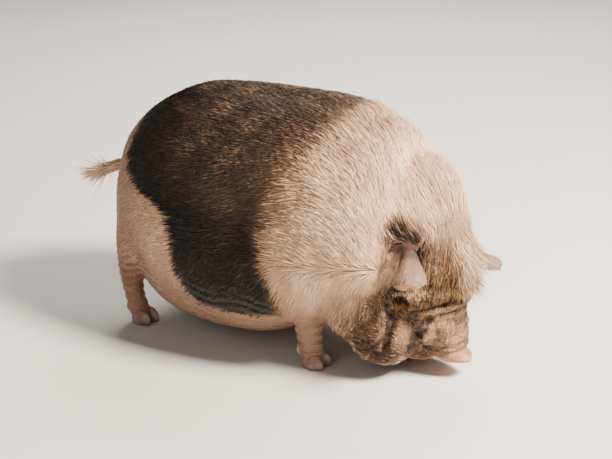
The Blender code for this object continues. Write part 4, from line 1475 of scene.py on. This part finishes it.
class PIG_OT_mane(BuildOperator, bpy.types.Operator):
    """Grow the long cream coat of the shoulders, neck and ruff"""

    bl_idname = "pig.mane"
    bl_label = "Mane and ruff"

    def build(self, settings):
        dice = np.random.default_rng(4)
        coat = settings.coat

        def density(places, normals):
            bare = 1 - 0.6 * ease(normals[:, 2], -0.4, -0.9)
            return coat.mane_density * (1 - head_share(places)) * (1 - leg_share(places)) * (mane_share(places) >= 0.5) * bare * clear_of_ears(places)

        ground = scattered(skin_object(), density, dice)
        roots, normals, creases = ground
        crest = ease(normals[:, 0] * 0.7 + normals[:, 2] * 0.7, 0.45, 0.95) * ease(roots[:, 2], 0.28, 0.36)
        low = ease(roots[:, 2], 0.20, 0.11)
        length = coat.mane_length * (1 + 0.12 * crest - 0.55 * low) * (1 - 0.5 * creases)
        lengths = length * dice.uniform(0.7, 1.15, len(roots))
        lifts = 0.12 + 0.14 * crest + 0.10 * dice.random(len(roots)) + 0.07 * swirl(roots, 50, 8)
        tones = 0.42 + 0.35 * ear_root_share(roots)
        made = Coat(ground, body_lie(roots, normals), lengths, 0.0023, lifts, 0.0, tones)
        grow("mane", made, 3, BODY_CHART, coat_looks(settings, "bristles"), "ruff_coat", dice)


class PIG_OT_face_coat(BuildOperator, bpy.types.Operator):
    """Grow the short bristles of the face, jowls and legs"""

    bl_idname = "pig.face_coat"
    bl_label = "Face and leg coat"

    def build(self, settings):
        dice = np.random.default_rng(5)
        coat = settings.coat

        def face_density(places, normals):
            head = in_head(places)
            bare = ease(head[:, 0], 0.236, 0.222)
            eyes = [np.linalg.norm(head - np.array(mirrored(EYE_CENTRE, side)), axis=1) for _, side in SIDES]
            clear = ease(np.minimum(*eyes), 0.013, 0.017)
            return coat.face_density * head_share(places) * bare * clear

        ground = scattered(skin_object(), face_density, dice)
        roots, _, creases = ground
        head = in_head(roots)
        jowl = ease(head[:, 2], -0.05, -0.12)
        crown = ease(head[:, 0], 0.07, 0.02)
        muzzle = ease(head[:, 0], 0.15, 0.20)
        growth = 1 + 1.1 * jowl + 1.8 * crown - 0.35 * muzzle
        lengths = coat.face_length * growth * (1 - 0.4 * creases) * dice.uniform(0.7, 1.2, len(roots))
        down = np.stack([0.55 * crown - 1 + 1.5 * crown, 2.2 * head[:, 1] * crown, -0.5 * jowl], axis=1)
        lies = from_head(down) + np.array([[-0.6, 0, -0.5]]) * jowl[:, None] + 0.25 * dice.normal(0, 1, (len(roots), 3))
        lifts = 0.22 + 0.15 * dice.random(len(roots)) + 0.25 * crown
        made = Coat(ground, lies, lengths, 0.0013 * (1 + 0.4 * jowl), lifts)
        grow("face_coat", made, 2, HEAD_CHART, coat_looks(settings, "bristles"), "face_coat", dice)
        ground = scattered(skin_object(), lambda places, _: 110000 * leg_share(places) * ease(places[:, 2], 0.012, 0.03), dice)
        roots = ground[0]
        lengths = coat.leg_length * (0.5 + ease(roots[:, 2], 0.03, 0.15)) * dice.uniform(0.7, 1.2, len(roots))
        lies = np.repeat([[-0.25, 0, -1.0]], len(roots), axis=0) + dice.normal(0, 0.2, (len(roots), 3))
        made = Coat(ground, lies, lengths, 0.0015, np.full(len(roots), 0.22))
        grow("leg_coat", made, 2, leg_chart, coat_looks(settings, "bristles"), "leg_skin", dice)


class PIG_OT_forelock(BuildOperator, bpy.types.Operator):
    """Grow the forelock, the bristles of the brow, and the hair of the ears"""

    bl_idname = "pig.forelock"
    bl_label = "Forelock and brow"

    def build(self, settings):
        dice = np.random.default_rng(6)
        coat = settings.coat
        looks = settings.looks

        def crown(places, normals):
            head = in_head(places)
            front = (normals @ TO_HEAD[2, :3]) > 0.2
            across = ease(np.abs(head[:, 1]), 0.098, 0.080)
            reach = ease(head[:, 0], -0.05, -0.02) * ease(head[:, 0], 0.074, 0.062)
            return 170000 * front * reach * across * clear_of_ears(places) * head_share(places)

        ground = scattered(skin_object(), crown, dice)
        roots = ground[0]
        head = in_head(roots)
        lies = from_head(np.stack([np.ones(len(roots)), 7 * head[:, 1], np.zeros(len(roots))], axis=1))
        lies = lies + 0.16 * dice.normal(0, 1, (len(roots), 3)) + 0.2 * swirl(roots, 90, 2)[:, None]
        aside = ease(np.abs(head[:, 1]), 0.015, 0.065)
        lengths = coat.forelock_length * (1 - 0.45 * aside) * dice.uniform(0.55, 1.1, len(roots))
        lifts = dice.uniform(0.4, 1.1, len(roots)) * (1 - 0.35 * aside)
        tones = 0.20 + 0.62 * aside + 0.16 * ease(head[:, 0], 0.02, 0.06)
        made = Coat(ground, lies, lengths, 0.0018, lifts, 0.5, tones)
        grow("forelock", made, 4, HEAD_CHART, fringe_material("forelock_hair", looks, 0.35, 0.6), "face_coat", dice)

        def brow(places, _):
            head = in_head(places)
            edge = 0.086 - 0.9 * head[:, 1] ** 2
            outer = ease(head[:, 2], -0.095, -0.075) * ease(np.abs(head[:, 1]), 0.125, 0.115)
            return 300000 * ease(np.abs(head[:, 0] - edge), 0.014, 0.006) * outer

        ground = scattered(skin_object(), brow, dice)
        roots = ground[0]
        head = in_head(roots)
        lies = from_head(np.stack([np.ones(len(roots)), 2.5 * head[:, 1], np.zeros(len(roots))], axis=1)) + 0.2 * dice.normal(0, 1, (len(roots), 3))
        lower = ease(head[:, 0], 0.074, 0.084)
        lengths = (0.014 + 0.012 * lower) * dice.uniform(0.6, 1.2, len(roots))
        tones = 0.45 + 0.5 * lower * ease(np.abs(head[:, 1]), 0.005, 0.03)
        made = Coat(ground, lies, lengths, 0.0016, dice.uniform(0.3, 0.8, len(roots)), 0.3, tones)
        grow("brow", made, 3, HEAD_CHART, fringe_material("brow_hair", looks, 0.3, 0.3), "face_coat", dice)
        self.ear_hair(settings, dice)

    def ear_hair(self, settings, dice):
        """Fine hair down the ears' backs and longer hair at the rims."""
        material = fringe_material("ear_hair", settings.looks, 0.25, 0.2)
        for label, side in SIDES:
            leaf = bpy.data.objects[f"{label}_ear_leaf"]
            roots, normals, creases = scattered(leaf, lambda places, _: np.full(len(places), 60000.0), dice)
            roots = roots - np.array(SHIFT)
            frame = ear_frame(side)
            back = np.array(frame.inverted())
            local = roots @ back[:3, :3].T + back[:3, 3]
            kept = (local[:, 2] > 0.030) & (local[:, 2] < EAR_LENGTH * 0.97)
            roots, normals, creases, local = roots[kept], normals[kept], creases[kept], local[kept]
            rim = ease(local[:, 0], -0.004, 0.012)
            lengths = (0.006 + 0.008 * rim) * dice.uniform(0.6, 1.2, len(roots))
            lies = np.repeat([np.array(frame.to_3x3() @ Vector((0.15, 0, 1)))], len(roots), axis=0)
            lies = lies + 0.2 * dice.normal(0, 1, (len(roots), 3))
            made = Coat((roots, normals, creases), lies, lengths, 0.0010, np.full(len(roots), 0.2), 0.35, 0.30 + 0.3 * rim)
            middle = tuple(frame @ Vector((0, 0, EAR_LENGTH / 2)))
            grow(f"{label}_ear_hair", made, 2, round_chart(middle, (0.06, 0.06, 0.06)), material, "ear_skin", dice)


def skin_object():
    """The skin in the frame that its sizes are given in, made once for the coats."""
    found = bpy.data.objects.get("coat_ground")
    if found:
        return found
    ground = bpy.data.objects.new("coat_ground", bpy.data.objects["skin"].data.copy())
    ground.data.transform(Matrix.Translation(-SHIFT))
    return ground


class PIG_OT_stage(BuildOperator, bpy.types.Operator):
    """Set up the floor, the soft light and the camera"""

    bl_idname = "pig.stage"
    bl_label = "Stage"

    def build(self, settings):
        studio = settings.studio
        bm = bmesh.new()
        bmesh.ops.create_grid(bm, x_segments=8, y_segments=8, size=12)
        floor = add_object("floor", bm)
        floor.data.materials.append(studio_material())
        self.camera(studio)
        aim = Vector((0.05, 0, 0.25))
        soft_light("key", (2.6, 0.3, 2.9), aim, 1.0, studio.key_power, (1.0, 0.90, 0.78))
        soft_light("fill", (0.4, -3.8, 1.8), aim, 3.0, studio.key_power * 0.06, (1.0, 0.96, 0.90))
        soft_light("back", (-1.2, 2.6, 2.8), aim, 2.0, studio.key_power * 0.26, (1.0, 0.95, 0.88))
        world = bpy.data.worlds.new("studio")
        world.use_nodes = True
        background = world.node_tree.nodes["Background"]
        background.inputs["Color"].default_value = (0.93, 0.94, 0.95, 1)
        background.inputs["Strength"].default_value = 0.15
        bpy.context.scene.world = world

    def camera(self, studio):
        azimuth, elevation = math.radians(studio.azimuth), math.radians(studio.elevation)
        back = Vector((math.sin(azimuth) * math.cos(elevation), -math.cos(azimuth) * math.cos(elevation), math.sin(elevation)))
        data = bpy.data.cameras.new("camera")
        data.lens = studio.lens
        data.sensor_width = 36
        camera = bpy.data.objects.new("camera", data)
        camera.location = Vector(AIM) + SHIFT + back * studio.distance
        camera.rotation_euler = back.to_track_quat("Z", "Y").to_euler()
        bpy.context.scene.collection.objects.link(camera)
        bpy.context.scene.camera = camera


AIM = (0.0927, 0.04545, 0.2259)


def soft_light(name, place, aim, size, power, colour):
    data = bpy.data.lights.new(name, "AREA")
    data.size = size
    data.energy = power
    data.color = colour
    light = bpy.data.objects.new(name, data)
    light.location = place
    light.rotation_euler = (Vector(place) - aim).to_track_quat("Z", "Y").to_euler()
    bpy.context.scene.collection.objects.link(light)


class PIG_PT_panel(bpy.types.Panel):
    """Settings and builders of the pig"""

    bl_idname = "PIG_PT_panel"
    bl_label = "Pot Bellied Pig"
    bl_space_type = "VIEW_3D"
    bl_region_type = "UI"
    bl_category = "Pig"

    def draw(self, context):
        settings = context.scene.pig
        for group in (settings.coat, settings.looks, settings.studio):
            box = self.layout.box()
            for name in group.__annotations__:
                box.prop(group, name)
        for operator in BUILDERS:
            self.layout.operator(operator.bl_idname)


BUILDERS = (
    PIG_OT_skin, PIG_OT_ears, PIG_OT_eyes, PIG_OT_claws, PIG_OT_tail,
    PIG_OT_back_coat, PIG_OT_mane, PIG_OT_face_coat, PIG_OT_forelock, PIG_OT_stage,
)
CLASSES = (CoatSettings, LookSettings, StudioSettings, PigSettings, *BUILDERS, PIG_PT_panel)


def register():
    for cls in CLASSES:
        bpy.utils.register_class(cls)
    bpy.types.Scene.pig = PointerProperty(type=PigSettings)


def unregister():
    del bpy.types.Scene.pig
    for cls in reversed(CLASSES):
        bpy.utils.unregister_class(cls)


def main():
    register()
    for name in ("skin", "ears", "eyes", "claws", "tail", "back_coat", "mane", "face_coat", "forelock", "stage"):
        getattr(bpy.ops.pig, name)()
    ground = bpy.data.objects.get("coat_ground")
    if ground:
        bpy.data.objects.remove(ground)


if __name__ == "__main__":
    main()
